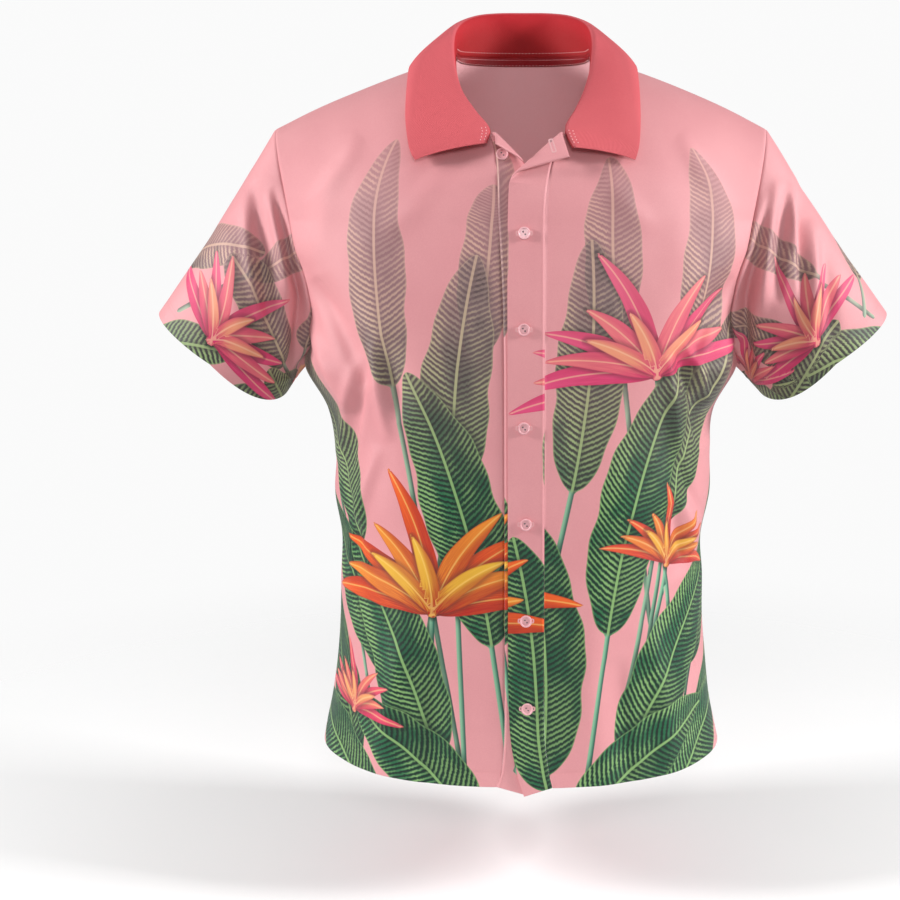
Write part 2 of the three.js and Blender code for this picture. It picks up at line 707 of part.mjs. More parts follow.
// Lays a button flat across its band, clear of the cloth where the band curls.
function placeButton(mesh, wall, { side, height, inset }) {
  const rows = wall.outer.length - 1;
  let place = 0;
  while (place < rows && bandPoint(wall, side, place, inset).z < height) place += placeStep;
  const edgeSide = bandPoint(wall, side, place, inset - buttonRadius);
  const seamSide = bandPoint(wall, side, place, inset + buttonRadius);
  const across = seamSide.clone().sub(edgeSide);
  if (side === "right") across.negate();
  const reach = 10 * placeStep;
  const above = bandPoint(wall, side, place + reach, inset);
  const up = above.sub(bandPoint(wall, side, place - reach, inset));
  const out = across.cross(up).normalize();
  mesh.quaternion.setFromUnitVectors(vector(0, 0, 1), out);
  mesh.position.copy(between(edgeSide, seamSide, 0.5)).addScaledVector(out, buttonGap);
}

const shirt = new THREE.Group();
function addPiece(name, wall, color, loop = false) {
  const mesh = new THREE.Mesh(wallBetween(wall.outer, wall.inner, loop), clothMaterial(color));
  mesh.name = name;
  shirt.add(mesh);
}

const leftFront = frontWall("left");
const rightFront = frontWall("right");
const backPanel = backWall();
addPiece("front_left", leftFront, pink);
addPiece("front_right", rightFront, pink);
addPiece("back", backPanel, pink);
addPiece("sleeve_left", sleeveWall("left", leftFront, backPanel), pink, true);
addPiece("sleeve_right", sleeveWall("right", rightFront, backPanel), pink, true);
addPiece("collar", collarWallOf(), coral);
const bands = { left: bandWallOf("left"), right: bandWallOf("right") };
addPiece("placket_left", bands.left, pink);
addPiece("placket_right", bands.right, pink);
addPiece("neck_tape", tapeWallOf(backPanel), darkRed);
buttons.forEach((row, k) => {
  const mesh = new THREE.Mesh(buttonGeometry(), clothMaterial(pink));
  mesh.name = "button_" + (k + 1);
  placeButton(mesh, bands[row.side], row);
  shirt.add(mesh);
});

export default shirt;
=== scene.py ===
"""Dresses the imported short-sleeved shirt: printed cloth, ribbed collar, bands, stitching and buttons.

Shapes are worked out in millimetres in the row frame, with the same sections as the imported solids, and
each mesh is written in metres. X is the wearer's left, -Y the front, Z up.
"""

import json
import logging
import math
from dataclasses import dataclass, field
from enum import Enum
from typing import Callable, Sequence

import bmesh
import bpy
import numpy as np
from mathutils import Matrix, Vector

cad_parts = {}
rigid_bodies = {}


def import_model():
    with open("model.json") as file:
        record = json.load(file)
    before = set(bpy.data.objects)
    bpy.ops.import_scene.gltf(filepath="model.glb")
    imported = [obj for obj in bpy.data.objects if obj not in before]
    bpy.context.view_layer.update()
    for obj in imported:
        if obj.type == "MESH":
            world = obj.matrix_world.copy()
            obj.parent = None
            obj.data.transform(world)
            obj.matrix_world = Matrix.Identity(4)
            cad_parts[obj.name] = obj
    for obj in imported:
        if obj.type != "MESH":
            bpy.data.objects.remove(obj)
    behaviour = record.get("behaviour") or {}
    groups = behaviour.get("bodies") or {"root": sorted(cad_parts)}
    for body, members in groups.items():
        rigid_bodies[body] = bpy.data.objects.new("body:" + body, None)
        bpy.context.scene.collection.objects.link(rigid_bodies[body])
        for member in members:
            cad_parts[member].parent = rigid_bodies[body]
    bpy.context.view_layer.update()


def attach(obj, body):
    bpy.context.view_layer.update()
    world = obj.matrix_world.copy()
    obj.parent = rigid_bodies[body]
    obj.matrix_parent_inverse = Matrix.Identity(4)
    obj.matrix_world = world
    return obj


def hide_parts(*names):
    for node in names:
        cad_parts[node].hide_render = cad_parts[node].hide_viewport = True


log = logging.getLogger("shirt")

METRE = 0.001  # one millimetre
BODY = "root"

# These are in millimetres, apart from the share.
CLOTH_WALL = 1.0
BAND_WALL = 1.5
COLLAR_WALL = 1.5
HEM_WALL = 0.9  # added where the hem is turned up
PITCH = 2.7  # the grids' spacing on the cloth
NECK_SHARE = 0.3  # of a half's width, from the middle to the end of the neckline
BAND_LIFT = 1.2
SEAM_DIP = 0.9
EDGE_RADIUS = 1.3  # of the cloth's rounded edges, and the reach of the dip at a seam
STITCH_REACH = 2.2  # of the dip beside a row of stitches


class Side(Enum):
    """The wearer's side of the shirt."""

    LEFT = 1
    RIGHT = -1

    @property
    def word(self) -> str:
        """The side as it stands in the names of nodes, pieces and columns."""
        return self.name.lower()


class Face(Enum):
    """The front or back of the body, with the sign of its depth."""

    FRONT = -1
    BACK = 1


class Table:
    """Rows of named columns, read between the rows on a smooth curve through them."""

    def __init__(self, names: str, rows: Sequence[Sequence[float]]) -> None:
        """Keeps the columns.

        Args:
            names: The columns' names, with spaces between.
            rows: The numbers, one row per station.
        """
        data = np.array(rows, float)
        self.columns = {name: data[:, k] for k, name in enumerate(names.split())}
        self.last = len(data) - 1

    def at(self, name: str, place: np.ndarray) -> np.ndarray:
        """Reads a column between its rows.

        Args:
            name: The column's name.
            place: Row places, 0 at the first row.

        Returns:
            The values, shaped as place.
        """
        column = self.columns[name]
        padded = np.concatenate([[2 * column[0] - column[1]], column, [2 * column[-1] - column[-2]]])
        place = np.asarray(place, float)
        low = np.clip(np.floor(place).astype(int), 0, self.last - 1)
        t = place - low
        a, b, c, d = (padded[low + k] for k in range(4))
        return b + 0.5 * t * (c - a + t * (2 * a - 5 * b + 4 * c - d + t * (3 * (b - c) + d - a)))

    def points(self, names: str, place: np.ndarray) -> np.ndarray:
        """Reads three columns as points."""
        return np.stack([self.at(name, place) for name in names.split()], axis=-1)


LEVEL_NAMES = "side mid left right depth bandL bandR freeL freeR droop y turn"
LEVELS = (
    # side, mid, left, right, front, back, bandL, bandR, freeL, freeR, droop
    (-704, -707, 205, 208, 138, 101, 28.5, -25.5, 1, 5, -9),
    (-686, -690, 201, 205, 137, 100, 25, -20.5, -5.5, 9, -4.5),
    (-656, -657, 195, 199, 136, 98, 21, -18, -12, 12, -1),
    (-614, -612, 190, 193, 135, 95, 20.2, -17.6, -14, 12.5, 0),
    (-570, -567, 185.5, 189, 134.5, 91, 20.2, -17.6, -14.3, 12.5, 0),
    (-526, -522, 184.5, 187, 134, 88, 20.2, -17.6, -14.3, 12.5, 0),
    (-484, -479, 182, 185, 133.5, 86, 20.2, -17.6, -14.3, 12.5, 0),
    (-440, -436, 190, 191, 133, 87, 20.2, -17.6, -14.3, 12.5, 0),
    (-396, -393, 189.5, 189.5, 132.5, 91, 20.2, -17.6, -14.3, 12.5, 0),
    (-352, -350, 193, 197, 132, 96, 20.2, -17.6, -14.3, 12.5, 0),
    (-311, -308, 214, 218, 131, 101, 20.2, -17.6, -14.3, 12.5, 0),
)
FRONT_ARMHOLE = (
    # side, mid, left, right, front, bandL, bandR, freeL, freeR, droop, y, turn
    (-288, -282, 206, 209, 130, 20.2, -17.8, -14.3, 12.5, 0, -26, 80),
    (-264, -257, 201, 205, 128.5, 20.2, -18.2, -14.3, 12.4, 0, -44, 68),
    (-239, -233, 203, 206, 126.5, 20.2, -18.8, -14.3, 12, 0, -55, 56),
    (-214, -210, 209, 212, 124, 20.2, -19.8, -14.3, 11.4, 0, -59, 48),
    (-189, -187, 216, 220, 121, 20.2, -21, -14.2, 10.6, 0, -57, 43),
    (-165, -165, 221, 225, 118, 20.2, -22.4, -14, 9.4, 0, -51, 40),
)
BACK_ARMHOLE = (
    # side, mid, left, right, back, y, turn
    (-287, -282, 208, 211, 104, 25, 80),
    (-261, -257, 207, 210, 106, 39, 68),
    (-236, -232, 210, 213, 107, 47, 58),
    (-212, -207, 215, 219, 107, 50, 50),
    (-188, -181, 221, 225, 105, 48, 45),
    (-165, -155, 225, 229, 102, 43, 42),
)
FRONT_ROWS = Table(
    LEVEL_NAMES,
    [(r[0], r[1], r[2], r[3], r[4], *r[6:], 0, 90) for r in LEVELS] + list(FRONT_ARMHOLE),
)
BACK_ROWS = Table(
    "side mid left right depth y turn",
    [(r[0], r[1], r[2], r[3], r[5], 0, 90) for r in LEVELS] + list(BACK_ARMHOLE),
)
ARMPIT = len(LEVELS) - 1
CHEST_LINE = FRONT_ROWS.last
TOP_EDGE = CHEST_LINE + 1

EDGE_NAMES = "x y z lean out drop reach"
FRONT_NECK = Table(EDGE_NAMES, [
    (39.5, -92, -84, -0.6, 0.5, 0.62, 0.24),
    (51, -70, -70, -0.15, 0.68, 0.72, 0.34),
    (60, -46, -53, 0, 0.76, 0.65, 0.36),
    (65.5, -20, -30, 0, 0.86, 0.5, 0.36),
    (66.5, 0, -10, 0, 0.93, 0.37, 0.34),
])
BACK_NECK = Table(EDGE_NAMES, [
    (0, 62, -10, 0, 0.42, 0.9, 0.34),
    (26, 58.5, -10, 0, 0.46, 0.88, 0.34),
    (48, 44, -10, 0, 0.58, 0.81, 0.34),
    (62, 24, -10, 0, 0.78, 0.62, 0.34),
    (66.5, 0, -10, 0, 0.93, 0.37, 0.34),
])
SHOULDER = Table("left right z out drop reach", [
    (66.5, 66.5, -10, 0.93, 0.37, 0.34),
    (108, 108, -23, 0.95, 0.31, 0.34),
    (150, 150, -38.5, 0.95, 0.3, 0.34),
    (196, 198, -58, 0.95, 0.3, 0.32),
    (238, 242, -79, 0.94, 0.33, 0.26),
])
NECK_END_RIGHT = 33.5

COLLAR_NAMES = "sx sy sz fx fy fz ex ey ez roll swell"
COLLAR_HALF = (
    (0, 60.6, -9, 0, 70, 35, 0, 87, -20, 5, 0),
    (26, 57, -9, 27, 67, 34.5, 38, 83, -21, 5, 0),
    (46.6, 43, -9, 48, 54, 31, 76, 68, -24, 5, 0),
    (60.8, 23, -9, 65.5, 32, 22, 100, 37, -24, 5, 0),
    (65.2, 0, -9, 71.5, 4, 8.5, 108.5, 0, -18.5, 5, 3),
    (63.9, -20, -29, 70, -18, -15, 110, -32, -35, 5, 9),
    (58.2, -45.6, -51.6, 61, -44, -42, 109.5, -71, -68, 4.5, 10),
)
COLLAR_FRONT_LEFT = (
    (50, -69.5, -69, 51, -67, -61.5, 107.5, -92, -92, 4, 8),
    (39.5, -90.5, -82, 41.5, -89, -78.5, 105, -100, -103, 3, 4),
    (45.5, -107, -97.5, 48.5, -107.5, -97, 103, -103, -108, 1.5, 1),
)
COLLAR_FRONT_RIGHT = (
    (-45.1, -68.3, -67.3, -47.4, -67.5, -62, -106, -92, -92, 4, 8),
    (-31.1, -87.9, -79.9, -34, -89.5, -79, -102.5, -100, -103, 3, 4),
    (-33.6, -103, -92.2, -35.5, -105.5, -93.2, -99, -103.5, -108, 1.5, 1),
)


def mirrored(row: Sequence[float]) -> tuple[float, ...]:
    """A collar station on the other side."""
    return tuple(-value if k in (0, 3, 6) else value for k, value in enumerate(row))


COLLAR = Table(COLLAR_NAMES, [
    *reversed(COLLAR_FRONT_LEFT),
    *reversed(COLLAR_HALF),
    *[mirrored(row) for row in COLLAR_HALF[1:]],
    *COLLAR_FRONT_RIGHT,
])


@dataclass(frozen=True)
class Lapel:
    """The turned-out top of a band: where its roll line leaves the free edge, and how it rolls."""

    start: tuple[float, float, float]
    width: float
    radius: float
    turn: float


BAND_ON_PRINT = {Side.LEFT: (-5, 13), Side.RIGHT: (-27, -11)}  # each band's place in the front's print
LAPELS = {
    Side.LEFT: Lapel((-12.6, -114.2, -128), 35, 2.6, 168),
    Side.RIGHT: Lapel((4, -106.5, -121), 32, 5, 128),
}


@dataclass(frozen=True)
class Crease:
    """A fold seen from the front or back, from one point to the next, bowed sideways.

    A negative depth is a trough. A skew between -1 and 1 makes one side steep and the other gentle: going
    down the fold, a positive one is steep on the right in front and on the left behind.
    """

    x1: float
    z1: float
    x2: float
    z2: float
    width: float
    depth: float
    bow: float = 0.0
    skew: float = 0.0


def creases(*rows: tuple[float, ...]) -> list[Crease]:
    """Creases from their numbers, one row each."""
    return [Crease(*row) for row in rows]


FRONT_CREASES = creases(
    (196, -225, 150, -315, 12, -8, 0, 0.5),
    (207, -262, 178, -345, 8, 6),
    (139, -297, 148, -390, 6, 5.5),
    (149, -290, 173, -380, 9, -8, 0, -0.5),
    (160, -284, 178, -340, 5, 5.5),
    (142, -376, 177, -452, 8, -4.5, 0, 0.5),
    (161, -428, 169, -486, 6, 5),
    (150, -440, 157, -505, 9, -5.5, 0, 0.5),
    (-197, -228, -152, -312, 12, -8, 0, -0.5),
    (-206, -264, -172, -340, 8, 6),
    (-143, -284, -129, -364, 6, 6.5),
    (-133, -277, -118, -345, 9, -6, 0, -0.5),
    (-160, -300, -181, -398, 6, 5),
    (-149, -304, -170, -408, 8, -5, 0, 0.4),
    (-180, -404, -160, -482, 9, -4.5, 0, 0.4),
    (-140, -384, -168, -466, 7, 5),
    (-168, -462, -172, -505, 6, 4.5),
    (128, -560, 150, -700, 14, 5.5),
    (92, -590, 104, -705, 14, -5, 0, 0.4),
    (-120, -580, -142, -702, 14, 5.5),
    (-86, -600, -92, -705, 14, -5, 0, -0.4),
    (62, -96, 118, -168, 11, 2.6, 6),
    (150, -92, 196, -150, 9, 3.2, 4),
    (-66, -96, -120, -170, 11, 2.6, -6),
    (-156, -92, -200, -148, 9, 3, -4),
    (214, -205, 172, -262, 7, -2.5),
    (-214, -205, -174, -262, 7, -2.5),
    (178, -300, 150, -372, 8, 2.6, 4),
    (-182, -300, -158, -372, 8, 2.6, -4),
    (168, -420, 142, -470, 9, -3),
    (176, -452, 158, -520, 9, 2.4),
    (-168, -470, -140, -560, 10, -2.4, 5),
    (60, -150, 84, -330, 22, 1.6, 6),
    (-70, -160, -92, -340, 22, 1.6, -6),
    (170, -120, 196, -200, 12, 2.2),
    (-176, -118, -198, -200, 12, 2.2),
    (60, -500, 72, -700, 16, 1.8, 5),
    (-52, -480, -62, -700, 15, 1.8, -5),
    (168, -600, 184, -704, 10, -2.4),
    (-166, -610, -186, -704, 10, -2.4),
)
BACK_CREASES = creases(
    (186, -215, 128, -330, 13, -8, 0, 0.5),
    (198, -256, 160, -352, 8, 5.5),
    (-186, -215, -128, -330, 13, -8, 0, -0.5),
    (-198, -252, -156, -348, 8, 5.5),
    (150, -400, 90, -470, 11, 6),
    (-146, -392, -84, -468, 11, 6),
    (158, -470, 92, -520, 11, -6, 0, 0.5),
    (-156, -462, -96, -522, 11, -6, 0, -0.5),
    (34, -420, 22, -600, 15, 4),
    (-30, -440, -44, -640, 16, -4.5, 0, 0.4),
    (104, -580, 128, -700, 14, 4.5),
    (-100, -590, -122, -700, 14, 4.5),
    (120, -130, 96, -320, 20, 2.2, 6),
    (-118, -130, -94, -320, 20, 2.2, -6),
    (64, -500, 52, -700, 16, 2.2, 6),
    (-66, -520, -58, -700, 16, 2.2, -6),
    (0, -300, 6, -460, 20, -2, 5),
    (172, -300, 140, -372, 9, 3, 4),
    (-172, -300, -140, -372, 9, 3, -4),
    (160, -600, 176, -704, 12, -2.6),
    (-158, -600, -174, -704, 12, -2.6),
)
SLEEVE_FRONT_CREASES = {
    Side.RIGHT: creases(
        (270, -146, 257, -240, 5.5, 3.5),
        (260, -142, 244, -262, 9.5, -9, 0, 0.55),
        (245, -144, 223, -232, 4.5, 4.5),
        (237, -142, 210, -246, 9.5, -10, 0, 0.55),
        (222, -176, 202, -258, 5, 3.5),
        (284, -176, 272, -268, 12, 4),
        (250, -262, 232, -330, 11, -4),
        (221, -206, 226, -314, 6.5, -14, 10, -0.3),
    ),
    Side.LEFT: creases(
        (229, -148, 203, -256, 4, 6, 3),
        (236, -152, 212, -252, 8, -7, 3, -0.4),
        (244, -136, 229, -246, 6.5, 6.5, 2),
        (254, -146, 244, -236, 7, -7, 0, 0.4),
        (260, -136, 262, -196, 4, 4),
        (267, -138, 268, -232, 8, -8, 0, -0.5),
        (279, -176, 276, -292, 8, 7, -2),
        (292, -186, 296, -276, 9, -5),
        (218, -206, 223, -314, 6.5, -14, 10, -0.3),
    ),
}
SLEEVE_BACK_CREASES = {
    Side.RIGHT: creases(
        (254, -140, 238, -246, 9, -8.5, 0, -0.5),
        (262, -126, 250, -226, 5.5, 5, -3),
        (280, -170, 264, -290, 12, 4.5),
        (236, -150, 214, -250, 6, 5),
        (300, -184, 290, -292, 12, -4),
    ),
    Side.LEFT: creases(
        (256, -136, 240, -240, 9, -8, 0, -0.5),
        (244, -138, 226, -232, 5, 5.5, 3),
        (272, -150, 272, -262, 7, 5, 3),
        (284, -170, 280, -290, 9, -5, 0, 0.4),
        (306, -196, 288, -300, 10, 4, 4),
    ),
}


def unit(vectors: np.ndarray) -> np.ndarray:
    """Vectors scaled to length one."""
    return vectors / np.maximum(np.linalg.norm(vectors, axis=-1, keepdims=True), 1e-9)


def bezier(a: np.ndarray, b: np.ndarray, c: np.ndarray, d: np.ndarray, t: np.ndarray) -> np.ndarray:
    """A cubic curve's points at t."""
    t = np.asarray(t)[..., None]
    s = 1 - t
    return s * s * s * a + 3 * s * s * t * b + 3 * s * t * t * c + t * t * t * d


def normals_of(grid: np.ndarray, loop: bool = False) -> np.ndarray:
    """The outward direction at each point of a grid of rows and columns.

    Args:
        grid: The points, rows by columns by three.
        loop: Whether the columns close round.

    Returns:
        Unit vectors, shaped as grid.
    """
    if loop:
        across = np.roll(grid, -1, axis=1) - np.roll(grid, 1, axis=1)
    else:
        padded = np.concatenate([grid[:, :1], grid, grid[:, -1:]], axis=1)
        across = padded[:, 2:] - padded[:, :-2]
    tall = np.concatenate([grid[:1], grid, grid[-1:]], axis=0)
    return unit(np.cross(across, tall[2:] - tall[:-2]))


def crease_depth(creases: Sequence[Crease], x: np.ndarray, z: np.ndarray) -> np.ndarray:
    """How far points are pushed in or out by the creases near them."""
    depth = np.zeros_like(x)
    for crease in creases:
        dx, dz = crease.x2 - crease.x1, crease.z2 - crease.z1
        length = math.hypot(dx, dz)
        run = ((x - crease.x1) * dx + (z - crease.z1) * dz) / (length * length)
        off = ((x - crease.x1) * dz - (z - crease.z1) * dx) / length
        off = off - crease.bow * 4 * run * (1 - run)
        through = np.clip((run + 0.1) / 1.2, 0, 1)
        taper = np.sin(math.pi * through) ** 0.8
        width = crease.width * (1 + crease.skew * np.tanh(off / 1.5))
        depth += crease.depth * taper * falloff(off, width)
    return depth


def falloff(distance: np.ndarray, reach: float | np.ndarray) -> np.ndarray:
    """1 where the distance is nothing, and less and less past the reach."""
    return np.exp(-((distance / reach) ** 2))


def smooth(low: float, high: float, value: np.ndarray) -> np.ndarray:
    """A smooth step from 0 at low to 1 at high."""
    t = np.clip((value - low) / (high - low), 0, 1)
    return t * t * (3 - 2 * t)


@dataclass(frozen=True)
class Half:
    """The form of half the front or half the back, from the middle to the side seam."""

    face: Face
    side: Side

    @property
    def rows(self) -> Table:
        """The sections from hem to chest line."""
        return FRONT_ROWS if self.face is Face.FRONT else BACK_ROWS

    def lower(self, place: np.ndarray, share: np.ndarray) -> np.ndarray:
        """Points under the chest line.

        Args:
            place: Row places.
            share: Shares of the half width, 0 at the middle.

        Returns:
            The points.
        """
        rows, out, sign = self.rows, self.side.value, self.face.value
        place = np.asarray(place, float)
        half_width = rows.at(self.side.word, place)
        end = np.stack([out * half_width, rows.at("y", place), rows.at("side", place)], axis=-1)
        if self.face is Face.FRONT:
            start = rows.at("bandL" if self.side is Side.LEFT else "bandR", place)
        else:
            start = np.zeros_like(place)
        first = np.stack([start, sign * rows.at("depth", place), rows.at("mid", place)], axis=-1)
        spread = end[..., 0] - first[..., 0]
        plan = np.hypot(spread, end[..., 1] - first[..., 1])
        turn = np.radians(rows.at("turn", place))
        rise = (end[..., 2] - first[..., 2]) / 3
        near = first + np.stack([0.58 * spread, 0 * spread, rise], axis=-1)
        back = np.stack([-out * np.cos(turn), sign * np.sin(turn), 0 * turn], axis=-1)
        far = end + back * (0.35 * plan)[..., None]
        far[..., 2] = end[..., 2] - rise
        return bezier(first, near, far, end, share)

    def edge(self, share: np.ndarray) -> tuple[np.ndarray, np.ndarray, np.ndarray]:
        """The neckline and shoulder seam that the half ends in.

        Args:
            share: Shares of the half width.

        Returns:
            The points, the directions away from them, and the reaches.
        """
        out, sign = self.side.value, self.face.value
        neck = FRONT_NECK if self.face is Face.FRONT else BACK_NECK
        on_neck = share < NECK_SHARE
        neck_place = np.clip(share / NECK_SHARE, 0, 1) * neck.last
        top_place = np.clip((share - NECK_SHARE) / (1 - NECK_SHARE), 0, 1) * SHOULDER.last

        def pick(neck_name: str, shoulder_name: str) -> np.ndarray:
            return np.where(on_neck, neck.at(neck_name, neck_place), SHOULDER.at(shoulder_name, top_place))

        x = pick("x", self.side.word)
        if self.face is Face.FRONT and self.side is Side.RIGHT:
            fade = 1 - np.clip(share / NECK_SHARE, 0, 1)
            x = x - np.where(on_neck, (neck.columns["x"][0] - NECK_END_RIGHT) * fade ** 3, 0)
        y = np.where(on_neck, neck.at("y", neck_place), 0)
        lean = np.where(on_neck, out * neck.at("lean", neck_place), 0)
        away = unit(np.stack([lean, sign * pick("out", "out"), -pick("drop", "drop")], axis=-1))
        return np.stack([out * x, y, pick("z", "z")], axis=-1), away, pick("reach", "reach")

    def grid(self, places: np.ndarray, shares: np.ndarray) -> np.ndarray:
        """The half's smooth form.

        Args:
            places: Row places, hem to top edge.
            shares: Column shares, 0 at the middle.

        Returns:
            Points, rows by columns by three.
        """
        place, share = np.meshgrid(places, shares, indexing="ij")
        under = self.lower(np.minimum(place, CHEST_LINE), share)
        line = np.full(len(shares), float(CHEST_LINE))
        foot = self.lower(line, shares)
        rise = unit(foot - self.lower(line - 0.25, shares))
        top, away, reach = self.edge(shares)
        span = np.linalg.norm(top - foot, axis=-1)
        low_arm = foot + rise * (0.36 * span)[:, None]
        high_arm = top + away * (reach * span)[:, None]
        upper = bezier(foot, low_arm, high_arm, top, np.clip(place - CHEST_LINE, 0, 1))
        points = np.where((place > CHEST_LINE)[..., None], upper, under)
        if self.face is Face.FRONT:
            fade = (1 - np.clip(share, 0, 1)) ** 2 * np.clip(1 - (place - CHEST_LINE), 0, 1)
            points[..., 1] -= self.side.value * BAND_LIFT * fade
        return points


def even_places(half: Half, share: float, pitch: float) -> np.ndarray:
    """Row places from hem to top edge, evenly spaced along a column, with closer rows at the hem."""
    fine = np.concatenate([
        np.linspace(0, CHEST_LINE, 400, endpoint=False), np.linspace(CHEST_LINE, TOP_EDGE, 120),
    ])
    path = half.grid(fine, np.array([share]))[:, 0]
    run = run_along(path, 0)
    wanted = np.linspace(0, run[-1], int(run[-1] / pitch) + 1)
    wanted = np.sort(np.concatenate([wanted, [0.5, 1.3, run[-1] - 0.7]]))
    places = np.interp(wanted, run, fine)
    for mark in (ARMPIT, CHEST_LINE):
        places[np.argmin(np.abs(places - mark))] = mark
    return places


def even_shares(half: Half, place: float, pitch: float) -> np.ndarray:
    """Column shares from middle to side, evenly spaced along a row and closer at the side seam."""
    fine = np.linspace(0, 1, 300)
    path = half.grid(np.array([place]), fine)[0]
    run = run_along(path, 0)
    wanted = np.linspace(0, run[-1], int(run[-1] / pitch) + 1)
    wanted = np.sort(np.concatenate([wanted, [run[-1] - 1.2, run[-1] - 0.5]]))
    return np.interp(wanted, run, fine)


def run_along(grid: np.ndarray, axis: int) -> np.ndarray:
    """Each point's distance from a grid's first row or column, or from a line's first point."""
    steps = np.linalg.norm(np.diff(grid, axis=axis), axis=-1)
    start = np.zeros_like(np.take(steps, [0], axis=axis))
    return np.concatenate([start, np.cumsum(steps, axis=axis)], axis=axis)


def line_at(grid: np.ndarray, distance: float, axis: int, far: bool = False, loop: bool = False,
            flat: tuple[np.ndarray, np.ndarray] | None = None) -> np.ndarray:
    """The line that runs at a distance from an edge of a grid.

    Args:
        grid: The points.
        distance: How far the line lies from the edge.
        axis: 0 to measure from the first row, 1 from the first column.
        far: Whether to measure from the last one instead.
        loop: Whether the columns close round.
        flat: The places on the cloth, across and up, if they are wanted.

    Returns:
        For each place along the line its point, its outward direction, and its place on the cloth.
    """
    across, up = flat if flat is not None else (grid[..., 0], grid[..., 2])
    both = np.concatenate([grid, normals_of(grid, loop), across[..., None], up[..., None]], axis=-1)
    both = both.transpose(1, 0, 2) if axis == 1 else both
    both = both[::-1] if far else both
    run = run_along(both[..., :3], 0)
    return np.array([
        [np.interp(distance, run[:, j], both[:, j, k]) for k in range(both.shape[-1])]
        for j in range(run.shape[1])
    ])


def area_of(grid: np.ndarray, loop: bool = False) -> float:
    """A grid's area in square metres."""
    if loop:
        grid = np.concatenate([grid, grid[:, :1]], axis=1)
    a, b, c, d = grid[:-1, :-1], grid[:-1, 1:], grid[1:, 1:], grid[1:, :-1]
    return float(np.linalg.norm(np.cross(c - a, d - b), axis=-1).sum() / 2) * METRE ** 2


def add_fields(mesh: bpy.types.Mesh, fields: dict[str, np.ndarray]) -> None:
    """Keeps values at a mesh's points.

    Args:
        mesh: The mesh.
        fields: For each attribute a grid of numbers or of vectors, in the order of the points.
    """
    for name, values in fields.items():
        vector = values.ndim == 3
        attribute = mesh.attributes.new(name, "FLOAT_VECTOR" if vector else "FLOAT", "POINT")
        attribute.data.foreach_set("vector" if vector else "value", values.astype(np.float32).ravel())


def add_cloth_map(mesh: bpy.types.Mesh, flat: np.ndarray) -> None:
    """Keeps each point's place on the cloth, given in millimetres, as a UV map in metres."""
    corner = np.zeros(len(mesh.loops), np.int32)
    mesh.loops.foreach_get("vertex_index", corner)
    layer = mesh.uv_layers.new(name="cloth")
    layer.data.foreach_set("uv", (flat[corner] * METRE).astype(np.float32).ravel())


def linked(name: str, mesh: bpy.types.Mesh) -> bpy.types.Object:
    """A new object of a mesh, in the scene."""
    piece = bpy.data.objects.new(name, mesh)
    bpy.context.scene.collection.objects.link(piece)
    return piece


@dataclass
class Cloth:
    """A cut piece as a grid: its outer points, its place on the cloth, and the wall at each point."""

    name: str
    outer: np.ndarray
    across: np.ndarray
    up: np.ndarray
    thickness: np.ndarray
    loop: bool = False
    fields: dict[str, np.ndarray] = field(default_factory=dict)

    def inner(self) -> np.ndarray:
        """The points of the inner face."""
        return self.outer - normals_of(self.outer, self.loop) * self.thickness[..., None]

    def build(self, materials: Sequence[bpy.types.Material], inside_slot: int = 1) -> bpy.types.Object:
        """Makes the closed wall between the outer and the inner grid.

        Args:
            materials: The finishes: outside first, then inside.
            inside_slot: The finish of the inner face.

        Returns:
            The new object, with a UV map in metres and one attribute for each field.
        """
        rows, columns = self.outer.shape[:2]
        spans = columns if self.loop else columns - 1
        i, j = np.meshgrid(np.arange(rows - 1), np.arange(spans), indexing="ij")
        k = (j + 1) % columns
        count = rows * columns
        a, b, c, d = i * columns + j, i * columns + k, (i + 1) * columns + k, (i + 1) * columns + j
        out_faces = np.stack([a, b, c, d], axis=-1).reshape(-1, 4)
        in_faces = np.stack([a, d, c, b], axis=-1).reshape(-1, 4) + count
        rims = []
        top = (rows - 1) * columns
        line, after = np.arange(spans), (np.arange(spans) + 1) % columns
        rims.append(np.stack([line + count, after + count, after, line], axis=-1))
        rims.append(np.stack([top + line, top + after, top + after + count, top + line + count], axis=-1))
        if not self.loop:
            rise = np.arange(rows - 1) * columns
            end = rise + columns - 1
            rims.append(np.stack([rise, rise + columns, rise + columns + count, rise + count], axis=-1))
            rims.append(np.stack([end + count, end + columns + count, end + columns, end], axis=-1))
        faces = np.concatenate([out_faces, in_faces, *rims])
        points = np.concatenate([self.outer.reshape(-1, 3), self.inner().reshape(-1, 3)]) * METRE
        mesh = bpy.data.meshes.new(self.name)
        mesh.from_pydata(points.tolist(), [], faces.tolist())
        slots = np.zeros(len(faces), np.int32)
        slots[len(out_faces): len(out_faces) + len(in_faces)] = inside_slot
        mesh.polygons.foreach_set("material_index", slots)
        for material in materials:
            mesh.materials.append(material)
        flat = np.stack([self.across, self.up], axis=-1).reshape(-1, 2)
        add_cloth_map(mesh, np.concatenate([flat, flat]))
        add_fields(mesh, {name: np.concatenate([values, values]) for name, values in self.fields.items()})
        mesh.shade_smooth()
        mesh.validate()
        return linked(self.name, mesh)


def soft_wave(x: np.ndarray, z: np.ndarray, size: float, seed: int) -> np.ndarray:
    """A gentle unevenness of about -1 to 1, made of a few crossing waves.

    Args:
        x: Places across.
        z: Places up.
        size: The usual wavelength.
        seed: Chooses the waves.

    Returns:
        The heights.
    """
    chance = np.random.default_rng(seed)
    total = np.zeros_like(x)
    for _ in range(7):
        heading = chance.uniform(-0.5, 0.5)
        length = size * chance.uniform(0.7, 1.6)
        phase = chance.uniform(0, 2 * math.pi)
        total += np.sin(2 * math.pi * (x * math.cos(heading) + z * math.sin(heading)) / length + phase)
    return total / 3.5


